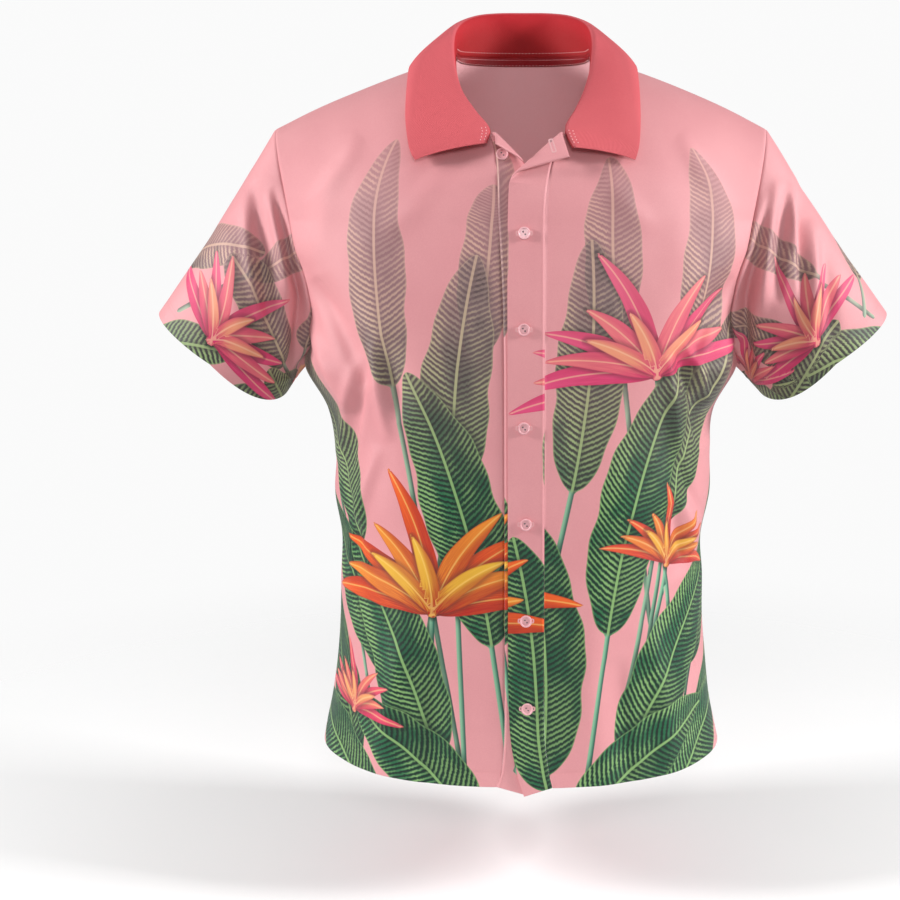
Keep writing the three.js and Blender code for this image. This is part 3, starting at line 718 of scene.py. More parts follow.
LEAF_LAYERS = 5
STALK_LAYER = 2
PETAL_LAYERS = 3
FIELD_DEEP = -9  # the least signed distance that a layer keeps, in millimetres
FIELD_FAR = 24.0  # the greatest
LEAF_RIBS = (5.6, 1.4)  # the pitch of a leaf's ribs and of the lines between them, in millimetres


@dataclass(frozen=True)
class Leaf:
    """A paddle leaf on its stem: its foot, the way it points from upright, and its size in millimetres."""

    u: float
    v: float
    angle: float
    length: float
    width: float
    bend: float = 0.0
    stem: float = 120.0
    tone: float = 0.5
    tip: float = 0.62

    def local(self, u: np.ndarray, v: np.ndarray) -> tuple[np.ndarray, np.ndarray]:
        """Places along and across the leaf's bent midrib.

        Args:
            u: Places across the cloth.
            v: Places up the cloth.

        Returns:
            The distances along and across.
        """
        angle = math.radians(self.angle)
        du, dv = u - self.u, v - self.v
        along = du * math.sin(angle) + dv * math.cos(angle)
        across = du * math.cos(angle) - dv * math.sin(angle)
        if abs(self.bend) < 1:
            return along, across
        turn = math.radians(abs(self.bend))
        radius = self.length / turn
        hand = math.copysign(1, self.bend)
        reach = radius - hand * across
        swing = np.arctan2(along, reach)
        bent = (swing * radius, hand * (radius - np.hypot(along, reach)))
        flat = along < 0
        return np.where(flat, along, bent[0]), np.where(flat, across, bent[1])

    def field(self, u: np.ndarray, v: np.ndarray) -> tuple[np.ndarray, np.ndarray, np.ndarray]:
        """The leaf's signed distance, negative inside, and the places along and across it."""
        along, across = self.local(u, v)
        share = np.clip(along / self.length, 0, 1)
        peak = (0.5 / (0.5 + self.tip)) ** 0.5 * (self.tip / (0.5 + self.tip)) ** self.tip
        half = self.width * share ** 0.5 * (1 - share) ** self.tip / peak
        ripple = np.sin(along / 15 + self.u) * np.sign(across) + 0.5 * np.sin(along / 6.7 + 2 * self.u)
        half = half * (1 + 0.05 * ripple)
        beyond = np.maximum(np.maximum(-along, along - self.length), 0)
        blade = np.abs(across) - half + 2 * beyond
        past = np.maximum(np.maximum(-self.stem - along, along - 0.3 * self.length), 0)
        stem = np.abs(across) - 2.6 + past
        return np.minimum(blade, stem), along, across


def bloom(u: float, v: float, size: float, tone: float, lean: float) -> list[list[Leaf]]:
    """A spread of pointed petals in three layers, from the outermost to the innermost.

    Args:
        u: The heart's place across the cloth.
        v: Its place up the cloth.
        size: The length of the longest petal.
        tone: 0 is orange and red, 1 pink.
        lean: The way the bloom faces, in degrees from upright.

    Returns:
        The petals of each layer.
    """
    rings = ((-74, -46, -4, 34, 68), (-60, -24, 16, 50), (-40, -2, 36))
    reach = (1.0, 0.82, 0.6)
    girth = (0.078, 0.076, 0.06)
    return [[
        Leaf(u, v, lean + angle, size * share * (1 - 0.12 * (k % 2)), size * half,
             34 * math.copysign(1, angle), 4, tone, 0.85)
        for k, angle in enumerate(angles)
    ] for angles, share, half in zip(rings, reach, girth)]


@dataclass
class Print:
    """The leaves and flowers on a piece of cloth, in layers from the farthest to the nearest."""

    leaves: list[list[tuple[float, ...]]]
    blooms: list[tuple[float, float, float, float, float]]
    base: float = 0.0
    top: float = 700.0

    def petals(self) -> list[list[Leaf]]:
        """The petals of every bloom, joined by layer."""
        layers: list[list[Leaf]] = [[] for _ in range(PETAL_LAYERS)]
        for row in self.blooms:
            for layer, petals in zip(layers, bloom(*row)):
                layer.extend(petals)
        return layers

    @staticmethod
    def nearest(motifs: Sequence[Leaf], u: np.ndarray, v: np.ndarray,
                by_share: bool) -> tuple[np.ndarray, np.ndarray]:
        """The field of whichever motif is nearest to each point.

        Args:
            motifs: The leaves or petals of one layer.
            u: Places across the cloth.
            v: Places up the cloth.
            by_share: Whether places along are given in hundredths of the length.

        Returns:
            The signed distances and places along and across, then the tones.
        """
        best = np.full(u.shape, FIELD_FAR)
        along, across, tone = np.zeros(u.shape), np.zeros(u.shape), np.zeros(u.shape)
        for motif in motifs:
            distance, run, off = motif.field(u, v)
            take = distance < best
            best = np.where(take, distance, best)
            along = np.where(take, run * 100 / motif.length if by_share else run, along)
            across = np.where(take, off, across)
            tone = np.where(take, motif.tone, tone)
        return np.stack([np.clip(best, FIELD_DEEP, FIELD_FAR), along, across], axis=-1), tone

    def fields(self, u: np.ndarray, v: np.ndarray) -> dict[str, np.ndarray]:
        """The attributes that the printed finish reads.

        Args:
            u: Places across the cloth, in millimetres.
            v: Places up the cloth.

        Returns:
            One array for each attribute.
        """
        found = {"height": self.base + v / self.top}
        stalks = [(u0, v0, lean, 4.0, 0.3, 0.0, v0 + size, 0.4) for u0, v0, size, _, lean in self.blooms]
        for k, rows in enumerate(self.leaves):
            layer = [Leaf(*row) for row in (rows + stalks if k == STALK_LAYER else rows)]
            found[f"leaf{k}"], found[f"leaf{k}_tone"] = self.nearest(layer, u, v, False)
        for k, layer in enumerate(self.petals()):
            found[f"petal{k}"], found[f"petal{k}_tone"] = self.nearest(layer, u, v, True)
        return found


FRONT_PRINT = Print(
    # each row: foot across and up, lean, length, half width, bend, stem, paleness
    leaves=[
        [(-226, 306, -16, 230, 28, -20, 300, 0.8), (-126, 392, -10, 240, 29, 16, 390, 0.8),
         (-44, 424, 10, 200, 26, -10, 420, 0.86), (90, 436, -8, 190, 27, 14, 430, 0.86),
         (166, 380, 12, 254, 31, -18, 370, 0.8), (250, 300, 22, 214, 28, 22, 300, 0.8)],
        [(-176, 230, -14, 232, 31, -24, 210, 0.6), (-66, 276, -2, 248, 33, 15, 268, 0.6),
         (46, 292, 12, 246, 32, -16, 288, 0.62), (150, 250, 12, 236, 32, 20, 230, 0.6),
         (236, 220, 22, 214, 30, 24, 230, 0.6)],
        [(-132, 104, -27, 240, 35, -32, 96, 0.42), (-30, 140, -8, 280, 37, -18, 132, 0.4),
         (82, 150, 8, 284, 37, 18, 140, 0.42), (184, 104, 26, 236, 34, 32, 92, 0.42)],
        [(-178, 8, -22, 214, 35, -24, 30, 0.3), (-88, 24, -12, 236, 37, -28, 30, 0.3),
         (18, 12, 6, 262, 38, -20, 30, 0.26), (104, 22, 22, 250, 38, 30, 30, 0.28),
         (196, 0, 30, 216, 35, 30, 30, 0.3)],
        [(-150, -34, -44, 168, 34, -36, 20, 0.18), (-46, -44, -32, 182, 35, -40, 20, 0.16),
         (52, -40, 40, 196, 36, 38, 20, 0.14), (146, -34, 34, 176, 35, 44, 20, 0.18)],
    ],
    blooms=[(-88, 172, 150, 0.0, 2), (128, 404, 138, 0.85, -6), (-190, 58, 76, 0.55, 10),
            (152, 214, 84, 0.3, 16)],
)
BACK_PRINT = Print(
    leaves=[
        [(-250, 300, -18, 224, 28, -20, 300, 0.8), (-150, 396, -8, 250, 30, 18, 396, 0.8),
         (-54, 430, 8, 226, 28, -14, 430, 0.85), (46, 402, -10, 236, 29, 12, 402, 0.82),
         (148, 382, 12, 250, 30, -18, 382, 0.8), (248, 300, 22, 214, 28, 24, 300, 0.8)],
        [(-206, 206, -22, 232, 32, -28, 206, 0.6), (-98, 262, -6, 256, 34, 18, 262, 0.6),
         (8, 240, 7, 270, 33, -14, 240, 0.6), (112, 266, 2, 252, 33, 20, 266, 0.6),
         (212, 210, 20, 232, 32, 28, 210, 0.6)],
        [(-262, 70, -24, 210, 32, -26, 70, 0.42), (-152, 104, -30, 240, 34, -30, 104, 0.42),
         (-40, 128, -12, 270, 36, -22, 128, 0.4), (78, 122, 13, 276, 36, 20, 122, 0.4),
         (190, 92, 30, 236, 34, 34, 92, 0.42)],
        [(-232, -14, -12, 190, 33, 28, 30, 0.34), (-112, 0, -26, 226, 36, -34, 30, 0.3),
         (6, 6, -6, 250, 37, 20, 30, 0.28), (124, -2, 32, 230, 37, 36, 30, 0.32),
         (246, -12, 22, 190, 33, 28, 30, 0.34)],
        [(-186, -46, -60, 160, 33, -34, 20, 0.2), (-60, -50, -34, 172, 34, -40, 20, 0.18),
         (62, -50, 44, 172, 34, 42, 20, 0.18), (184, -46, 58, 164, 33, 36, 20, 0.2)],
    ],
    blooms=[(-92, 200, 150, 0.0, -8), (110, 372, 138, 0.85, 10), (30, 96, 92, 0.2, 6),
            (-206, 388, 112, 0.8, -6),
            (214, 176, 116, 0.1, 8)],
)
SLEEVE_PRINT = Print(
    leaves=[
        [(-96, 96, -34, 150, 20, -24, 90, 0.95), (78, 84, 26, 160, 21, 24, 80, 0.95),
         (212, 70, 18, 130, 20, 20, 70, 0.95), (-226, 60, 14, 130, 20, 20, 60, 0.95)],
        [(-190, 40, 52, 150, 26, 26, 40, 0.78), (24, 48, -46, 140, 24, -24, 40, 0.8),
         (120, 26, 44, 152, 25, 26, 26, 0.78)],
        [(-130, -22, -62, 140, 25, -26, 10, 0.66), (30, -30, 60, 156, 27, 24, 10, 0.64),
         (196, -24, -50, 130, 24, -26, 10, 0.66)],
        [(-28, -34, -44, 110, 22, -30, 10, 0.55), (168, -40, 30, 100, 22, 30, 10, 0.55)],
        [(-230, -40, 30, 100, 22, 24, 10, 0.55)],
    ],
    blooms=[(-96, 22, 104, 0.95, -14), (112, 34, 92, 0.85, 14), (226, 14, 84, 0.8, 8)],
    base=0.46, top=400.0,
)


def srgb(red: float, green: float, blue: float) -> tuple[float, float, float, float]:
    """A screen colour, 0 to 255, as linear light."""
    def one(value: float) -> float:
        share = value / 255
        return share / 12.92 if share <= 0.04045 else ((share + 0.055) / 1.055) ** 2.4
    return one(red), one(green), one(blue), 1.0


Value = float | bpy.types.NodeSocket
Colour = tuple[float, float, float, float] | bpy.types.NodeSocket


class Graph:
    """A material's nodes, added one by one."""

    def __init__(self, name: str) -> None:
        """Starts a material with an empty tree."""
        self.material = bpy.data.materials.new(name)
        self.material.use_nodes = True
        self.tree = self.material.node_tree
        self.tree.nodes.clear()

    def node(self, kind: str, **settings: object) -> bpy.types.Node:
        """Adds a node.

        Args:
            kind: The node's type.
            settings: Its properties.

        Returns:
            The node.
        """
        made = self.tree.nodes.new(kind)
        for name, value in settings.items():
            setattr(made, name, value)
        return made

    def plug(self, socket: bpy.types.NodeSocket, value: Value | Colour) -> None:
        """Links a socket to an output, or sets its number or colour."""
        if isinstance(value, bpy.types.NodeSocket):
            self.tree.links.new(value, socket)
        else:
            socket.default_value = value

    def math(self, operation: str, *values: Value) -> bpy.types.NodeSocket:
        """One step of arithmetic."""
        made = self.node("ShaderNodeMath", operation=operation)
        for socket, value in zip(made.inputs, values):
            self.plug(socket, value)
        return made.outputs[0]

    def step(self, value: Value, low: float, high: float) -> bpy.types.NodeSocket:
        """A smooth step from 0 at low to 1 at high; high may be the lower."""
        made = self.node("ShaderNodeMapRange", interpolation_type="SMOOTHSTEP")
        turned = low > high
        self.plug(made.inputs[0], value)
        ends = (min(low, high), max(low, high), float(turned), float(not turned))
        for socket, number in zip(made.inputs[1:5], ends):
            socket.default_value = number
        return made.outputs[0]

    def part(self, value: Value, low: float, high: float, most: float) -> bpy.types.NodeSocket:
        """A smooth step that ends at most instead of 1."""
        return self.math("MULTIPLY", self.step(value, low, high), most)

    def mix(self, share: Value, first: Colour, second: Colour, blend: str = "MIX") -> bpy.types.NodeSocket:
        """Mixes two colours."""
        made = self.node("ShaderNodeMix", data_type="RGBA", blend_type=blend)
        self.plug(made.inputs[0], share)
        self.plug(made.inputs[6], first)
        self.plug(made.inputs[7], second)
        return made.outputs[2]

    def field(self, name: str) -> bpy.types.Node:
        """Reads a piece's attribute."""
        return self.node("ShaderNodeAttribute", attribute_name=name)

    def split(self, vector: bpy.types.NodeSocket) -> tuple[bpy.types.NodeSocket, ...]:
        """A vector's three parts."""
        made = self.node("ShaderNodeSeparateXYZ")
        self.plug(made.inputs[0], vector)
        return tuple(made.outputs)

    def join(self, *values: Value) -> bpy.types.NodeSocket:
        """A vector of three parts."""
        made = self.node("ShaderNodeCombineXYZ")
        for socket, value in zip(made.inputs, values):
            self.plug(socket, value)
        return made.outputs[0]

    def noise(self, vector: bpy.types.NodeSocket, scale: float,
              detail: float = 2.0) -> bpy.types.NodeSocket:
        """Noise around one half."""
        made = self.node("ShaderNodeTexNoise")
        self.plug(made.inputs["Vector"], vector)
        made.inputs["Scale"].default_value = scale
        made.inputs["Detail"].default_value = detail
        return made.outputs[0]

    def flat(self) -> bpy.types.NodeSocket:
        """The place on the cloth, in metres."""
        return self.node("ShaderNodeUVMap", uv_map="cloth").outputs[0]

    def place(self) -> bpy.types.NodeSocket:
        """The place in the object, in metres."""
        return self.node("ShaderNodeTexCoord").outputs["Object"]

    def bump(self, height: Value, distance: float) -> bpy.types.NodeSocket:
        """A normal shaped by heights, which are 0 to 1 of distance."""
        made = self.node("ShaderNodeBump")
        made.inputs["Strength"].default_value = 1.0
        made.inputs["Distance"].default_value = distance
        self.plug(made.inputs["Height"], height)
        return made.outputs[0]

    def surface(self, colour: Colour, roughness: Value, normal: bpy.types.NodeSocket | None,
                settings: dict[str, object]) -> bpy.types.Material:
        """Ends the tree in its shader.

        Args:
            colour: The base colour.
            roughness: The roughness.
            normal: The bumped normal, if any.
            settings: Other inputs of the shader by name.

        Returns:
            The material.
        """
        shader = self.node("ShaderNodeBsdfPrincipled")
        self.plug(shader.inputs["Base Color"], colour)
        self.plug(shader.inputs["Roughness"], roughness)
        if normal is not None:
            self.plug(shader.inputs["Normal"], normal)
        for name, value in settings.items():
            shader.inputs[name].default_value = value
        output = self.node("ShaderNodeOutputMaterial")
        self.plug(output.inputs[0], shader.outputs[0])
        return self.material


class Knit(Enum):
    """How a cloth's face is knitted, as the pitch of its columns and courses in metres and its relief."""

    FINE = (0.0011, 0.0009, 0.00012)
    BIAS = (0.0024, 0.0024, 0.00022)
    TWILL = (0.0012, 0.0024, 0.00030)


def knit_height(graph: Graph, knit: Knit) -> bpy.types.NodeSocket:
    """The height of a knitted face, 0 to 1.

    Args:
        graph: The material's nodes.
        knit: The kind of knit.

    Returns:
        The height.
    """
    across, up, _ = graph.split(graph.flat())
    wide, tall, _ = knit.value
    turn = 2 * math.pi
    if knit is Knit.FINE:
        columns = graph.math("SINE", graph.math("MULTIPLY", across, turn / wide))
        courses = graph.math("SINE", graph.math("MULTIPLY", up, turn / tall))
        return graph.math("MULTIPLY_ADD", graph.math("MULTIPLY", columns, courses), 0.5, 0.5)
    slant = graph.math("ADD" if knit is Knit.BIAS else "SUBTRACT", across, up)
    ribs = graph.math("SINE", graph.math("MULTIPLY", slant, turn / wide))
    return graph.math("MULTIPLY_ADD", ribs, 0.5, 0.5)


@dataclass(frozen=True)
class ClothFinish:
    """Plain knitted cloth."""

    name: str
    colour: tuple[int, int, int]
    shade: tuple[int, int, int]
    knit: Knit = Knit.FINE
    roughness: float = 0.43
    sheen: float = 0.12

    def base(self, graph: Graph) -> bpy.types.NodeSocket:
        """The dyed colour, a little uneven."""
        blotch = graph.noise(graph.place(), 9.0, 3.0)
        grain = graph.noise(graph.place(), 900.0, 1.0)
        share = graph.math("MULTIPLY_ADD", grain, 0.35, graph.math("MULTIPLY", blotch, 0.65))
        return graph.mix(graph.step(share, 0.3, 0.7), srgb(*self.colour), srgb(*self.shade))

    def finish(self, graph: Graph, colour: bpy.types.NodeSocket) -> bpy.types.Material:
        """The knit's relief, roughness and soft sheen over a colour, with a painted highlight on raised
        loops.
        """
        height = knit_height(graph, self.knit)
        # Painted highlight: the colour is lightened where the knit's height rises, following its bump.
        painted_highlight_share = 0.10 if self.knit is Knit.FINE else 0.22
        raised = graph.math("MULTIPLY", height, painted_highlight_share)
        colour = graph.mix(raised, colour, srgb(255, 255, 255), "SOFT_LIGHT")
        fuzz = graph.noise(graph.place(), 420.0, 2.0)
        relief = graph.math("MULTIPLY_ADD", fuzz, 0.35, height)
        normal = graph.bump(relief, self.knit.value[2])
        rough = graph.math("MULTIPLY_ADD", fuzz, 0.16, self.roughness - 0.08)
        return graph.surface(colour, rough, normal, {
            "Sheen Weight": self.sheen,
            "Sheen Roughness": 0.42,
            "Sheen Tint": (1.0, 0.93, 0.93, 1.0),
            "Specular IOR Level": 0.42,
        })

    def material(self) -> bpy.types.Material:
        """Makes the material."""
        graph = Graph(self.name)
        return self.finish(graph, self.base(graph))


@dataclass(frozen=True)
class Paint:
    """One layer of a print: its colour, its cover, and the shadow it throws on the layers below."""

    colour: bpy.types.NodeSocket
    cover: bpy.types.NodeSocket
    shadow: bpy.types.NodeSocket
    dark: Colour


@dataclass(frozen=True)
class PrintedFinish(ClothFinish):
    """Knitted cloth with leaves and petals printed on its face."""

    @staticmethod
    def leaf_colour(graph: Graph, layer: int) -> Paint:
        """One layer of leaves.

        Args:
            graph: The material's nodes.
            layer: The layer's number.

        Returns:
            Its paint.
        """
        distance, along, across = graph.split(graph.field(f"leaf{layer}").outputs["Vector"])
        tone = graph.field(f"leaf{layer}_tone").outputs["Fac"]
        height = graph.field("height").outputs["Fac"]
        off = graph.math("ABSOLUTE", across)
        place = graph.join(graph.math("MULTIPLY", across, 0.5), graph.math("MULTIPLY", along, 0.09), tone)
        grain = graph.noise(place, 1.0, 3.0)
        lift = graph.math("MULTIPLY", off, graph.math("MULTIPLY_ADD", off, 0.007, 0.42))
        slant = graph.math("MULTIPLY_ADD", grain, 3.4, graph.math("SUBTRACT", along, lift))
        coarse, fine = (graph.math("SINE", graph.math("MULTIPLY", slant, 2 * math.pi / pitch))
                        for pitch in LEAF_RIBS)
        wave = graph.math("MULTIPLY_ADD", fine, 0.08, graph.math("MULTIPLY_ADD", coarse, 0.5, 0.5))
        paler = graph.math("SUBTRACT", tone, 0.5)
        dusty = graph.math("MULTIPLY_ADD", paler, 0.6, graph.step(height, 0.34, 0.8))
        dusty = graph.math("MINIMUM", graph.math("MAXIMUM", dusty, 0.0), 1.0)
        dark = graph.mix(dusty, srgb(6, 40, 28), srgb(118, 92, 96))
        middle = graph.mix(dusty, srgb(20, 98, 60), srgb(150, 126, 120))
        light = graph.mix(dusty, srgb(140, 182, 112), srgb(206, 174, 150))
        patch = graph.join(graph.math("MULTIPLY", across, 0.03), graph.math("MULTIPLY", along, 0.018), tone)
        glow = graph.noise(patch, 1.0, 2.0)
        middle = graph.mix(graph.part(glow, 0.46, 0.66, 0.5), middle, light)
        dark = graph.mix(graph.part(glow, 0.52, 0.3, 0.5), dark, srgb(3, 22, 20))
        colour = graph.mix(graph.step(wave, 0.2, 0.75), dark, middle)
        bright = graph.math("MULTIPLY", graph.step(wave, 0.62, 0.98), graph.step(glow, 0.36, 0.6))
        colour = graph.mix(graph.math("MULTIPLY", bright, 0.85), colour, light)
        lit = graph.part(across, -6.0, 8.0, 0.3)
        colour = graph.mix(lit, colour, dark)
        hollow = graph.part(off, 6.5, 1.5, 0.5)
        colour = graph.mix(hollow, colour, dark)
        margin = graph.part(distance, -1.7, -0.5, 0.4)
        colour = graph.mix(margin, colour, light)
        colour = graph.mix(graph.part(off, 1.7, 0.9, 0.85), colour, light)
        curve = graph.step(across, -1.8, 2.2)
        near_stalk = graph.mix(dusty, srgb(130, 186, 150), srgb(178, 166, 150))
        far_stalk = graph.mix(dusty, srgb(26, 92, 76), srgb(132, 120, 114))
        stalk = graph.mix(curve, near_stalk, far_stalk)
        colour = graph.mix(graph.step(along, 3.0, -3.0), colour, stalk)
        veil = graph.math("MULTIPLY_ADD", graph.step(height, 1.0, 0.55), 0.62, 0.38)
        cover = graph.math("MULTIPLY", graph.step(distance, 0.45, -0.45), veil)
        shadow = graph.part(distance, 9.0, -1.0, 0.62)
        return Paint(colour, cover, shadow, dark)

    @staticmethod
    def petal_colour(graph: Graph, layer: int) -> Paint:
        """One layer of petals, as for leaves."""
        distance, share, across = graph.split(graph.field(f"petal{layer}").outputs["Vector"])
        tone = graph.field(f"petal{layer}_tone").outputs["Fac"]
        height = graph.field("height").outputs["Fac"]
        place = graph.join(graph.math("MULTIPLY", across, 0.9), graph.math("MULTIPLY", share, 0.05), tone)
        grain = graph.noise(place, 1.0, 3.0)
        warm = layer / (PETAL_LAYERS - 1)
        foot = graph.mix(graph.step(tone, 0.15, 0.75), srgb(170, 16, 10), srgb(206, 40, 96))
        tip = graph.mix(graph.step(tone, 0.15, 0.8), srgb(240 - 6 * warm, 96 + 84 * warm, 20 + 30 * warm),
                        srgb(226 + 10 * warm, 70 + 84 * warm, 122 - 10 * warm))
        body = graph.mix(0.35 + 0.45 * warm, foot, tip)
        colour = graph.mix(graph.step(share, 4.0, 46.0), foot, body)
        colour = graph.mix(graph.step(share, 44.0, 94.0), colour, tip)
        streak = graph.part(grain, 0.42, 0.66, 0.55)
        colour = graph.mix(streak, colour, tip)
        side = graph.part(across, -1.0, 5.5, 0.6)
        colour = graph.mix(side, colour, foot)
        keel = graph.part(graph.math("ABSOLUTE", across), 1.1, 0.4, 0.45)
        colour = graph.mix(keel, colour, graph.mix(tone, srgb(250, 206, 110), srgb(250, 200, 170)))
        margin = graph.part(distance, -1.4, -0.3, 0.45)
        colour = graph.mix(margin, colour, foot)
        pastel = graph.part(height, 0.5, 0.9, 0.3)
        colour = graph.mix(pastel, colour, srgb(240, 170, 158))
        veil = graph.math("MULTIPLY_ADD", graph.step(height, 1.0, 0.7), 0.4, 0.6)
        cover = graph.math("MULTIPLY", graph.step(distance, 0.4, -0.4), veil)
        shadow = graph.part(distance, 6.0, -0.5, 0.5)
        return Paint(colour, cover, shadow, srgb(20, 40, 28))

    def material(self) -> bpy.types.Material:
        """Makes the material."""
        graph = Graph(self.name)
        colour = self.base(graph)
        paints = [self.leaf_colour(graph, layer) for layer in range(LEAF_LAYERS)]
        paints += [self.petal_colour(graph, layer) for layer in range(PETAL_LAYERS)]
        covered: Value = 0.0
        for paint in paints:
            colour = graph.mix(graph.math("MULTIPLY", paint.shadow, covered), colour, paint.dark)
            colour = graph.mix(paint.cover, colour, paint.colour)
            covered = graph.math("MAXIMUM", covered, paint.cover)
        return self.finish(graph, colour)


@dataclass(frozen=True)
class ResinFinish:
    """Moulded resin with a soft gloss."""

    name: str
    colour: tuple[int, int, int]
    shade: tuple[int, int, int]

    def material(self) -> bpy.types.Material:
        """Makes the material."""
        graph = Graph(self.name)
        swirl = graph.noise(graph.place(), 260.0, 3.0)
        colour = graph.mix(graph.step(swirl, 0.35, 0.7), srgb(*self.colour), srgb(*self.shade))
        scuff = graph.noise(graph.place(), 1400.0, 2.0)
        normal = graph.bump(scuff, 0.00002)
        rough = graph.math("MULTIPLY_ADD", scuff, 0.2, 0.2)
        return graph.surface(colour, rough, normal, {"Specular IOR Level": 0.5, "Coat Weight": 0.25,
                                                     "Coat Roughness": 0.2})


@dataclass(frozen=True)
class ThreadFinish:
    """Twisted sewing thread, with a painted highlight where its ply rises."""

    name: str
    colour: tuple[int, int, int]

    def material(self) -> bpy.types.Material:
        """Makes the material."""
        graph = Graph(self.name)
        ply_and_painted_highlight = graph.noise(graph.place(), 2600.0, 1.0)
        # Painted highlight: the thread's colour is lightened where the ply's bump rises.
        colour = graph.mix(graph.math("MULTIPLY", ply_and_painted_highlight, 0.35), srgb(*self.colour), srgb(255, 240, 240))
        normal = graph.bump(ply_and_painted_highlight, 0.00008)
        return graph.surface(colour, 0.5, normal, {"Sheen Weight": 0.3, "Specular IOR Level": 0.35})


@dataclass(frozen=True)
class CollarFinish(ClothFinish):
    """Ribbed collar cloth: coral outside, dark red where the stand faces the neck."""

    inside: tuple[int, int, int] = (156, 6, 14)

    def material(self) -> bpy.types.Material:
        """Makes the material."""
        graph = Graph(self.name)
        turn = graph.field("turn").outputs["Fac"]
        # Painted shade: the stand's inner face is darkest at its foot by the neck seam, lighter up towards
        # the fold, and turns coral lower down where turn is raised towards the front ends.
        inside = graph.mix(graph.step(turn, 0.2, 0.8), srgb(*self.inside), srgb(186, 22, 34))
        colour = graph.mix(graph.step(turn, 0.84, 0.93), inside, self.base(graph))
        return self.finish(graph, colour)


def offset(grid: np.ndarray, distance: float) -> np.ndarray:
    """A grid moved along its outward directions."""
    return grid + normals_of(grid) * distance


def rounded(distance: np.ndarray, radius: float) -> np.ndarray:
    """The share of full thickness at a distance from a rounded edge."""
    t = np.clip(distance / radius, 0, 1)
    return 0.35 + 0.65 * np.sqrt(1 - (1 - t) ** 2)


def hemmed_wall(up: np.ndarray, hem_depth: float) -> np.ndarray:
    """The cloth's wall at heights above its edge, doubled at the hem and thinned at the rounded edge."""
    doubled = HEM_WALL * smooth(hem_depth + 1, hem_depth - 1, up)
    return (CLOTH_WALL + doubled) * rounded(up, EDGE_RADIUS)


def add_piece(piece: bpy.types.Object, slot: str, *nodes: str) -> bpy.types.Object:
    """Lets a piece ride on the body and stand for its nodes."""
    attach(piece, BODY)
    if nodes:
        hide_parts(*nodes)
    log.info("%s: %d faces", piece.name, len(piece.data.polygons))
    return piece


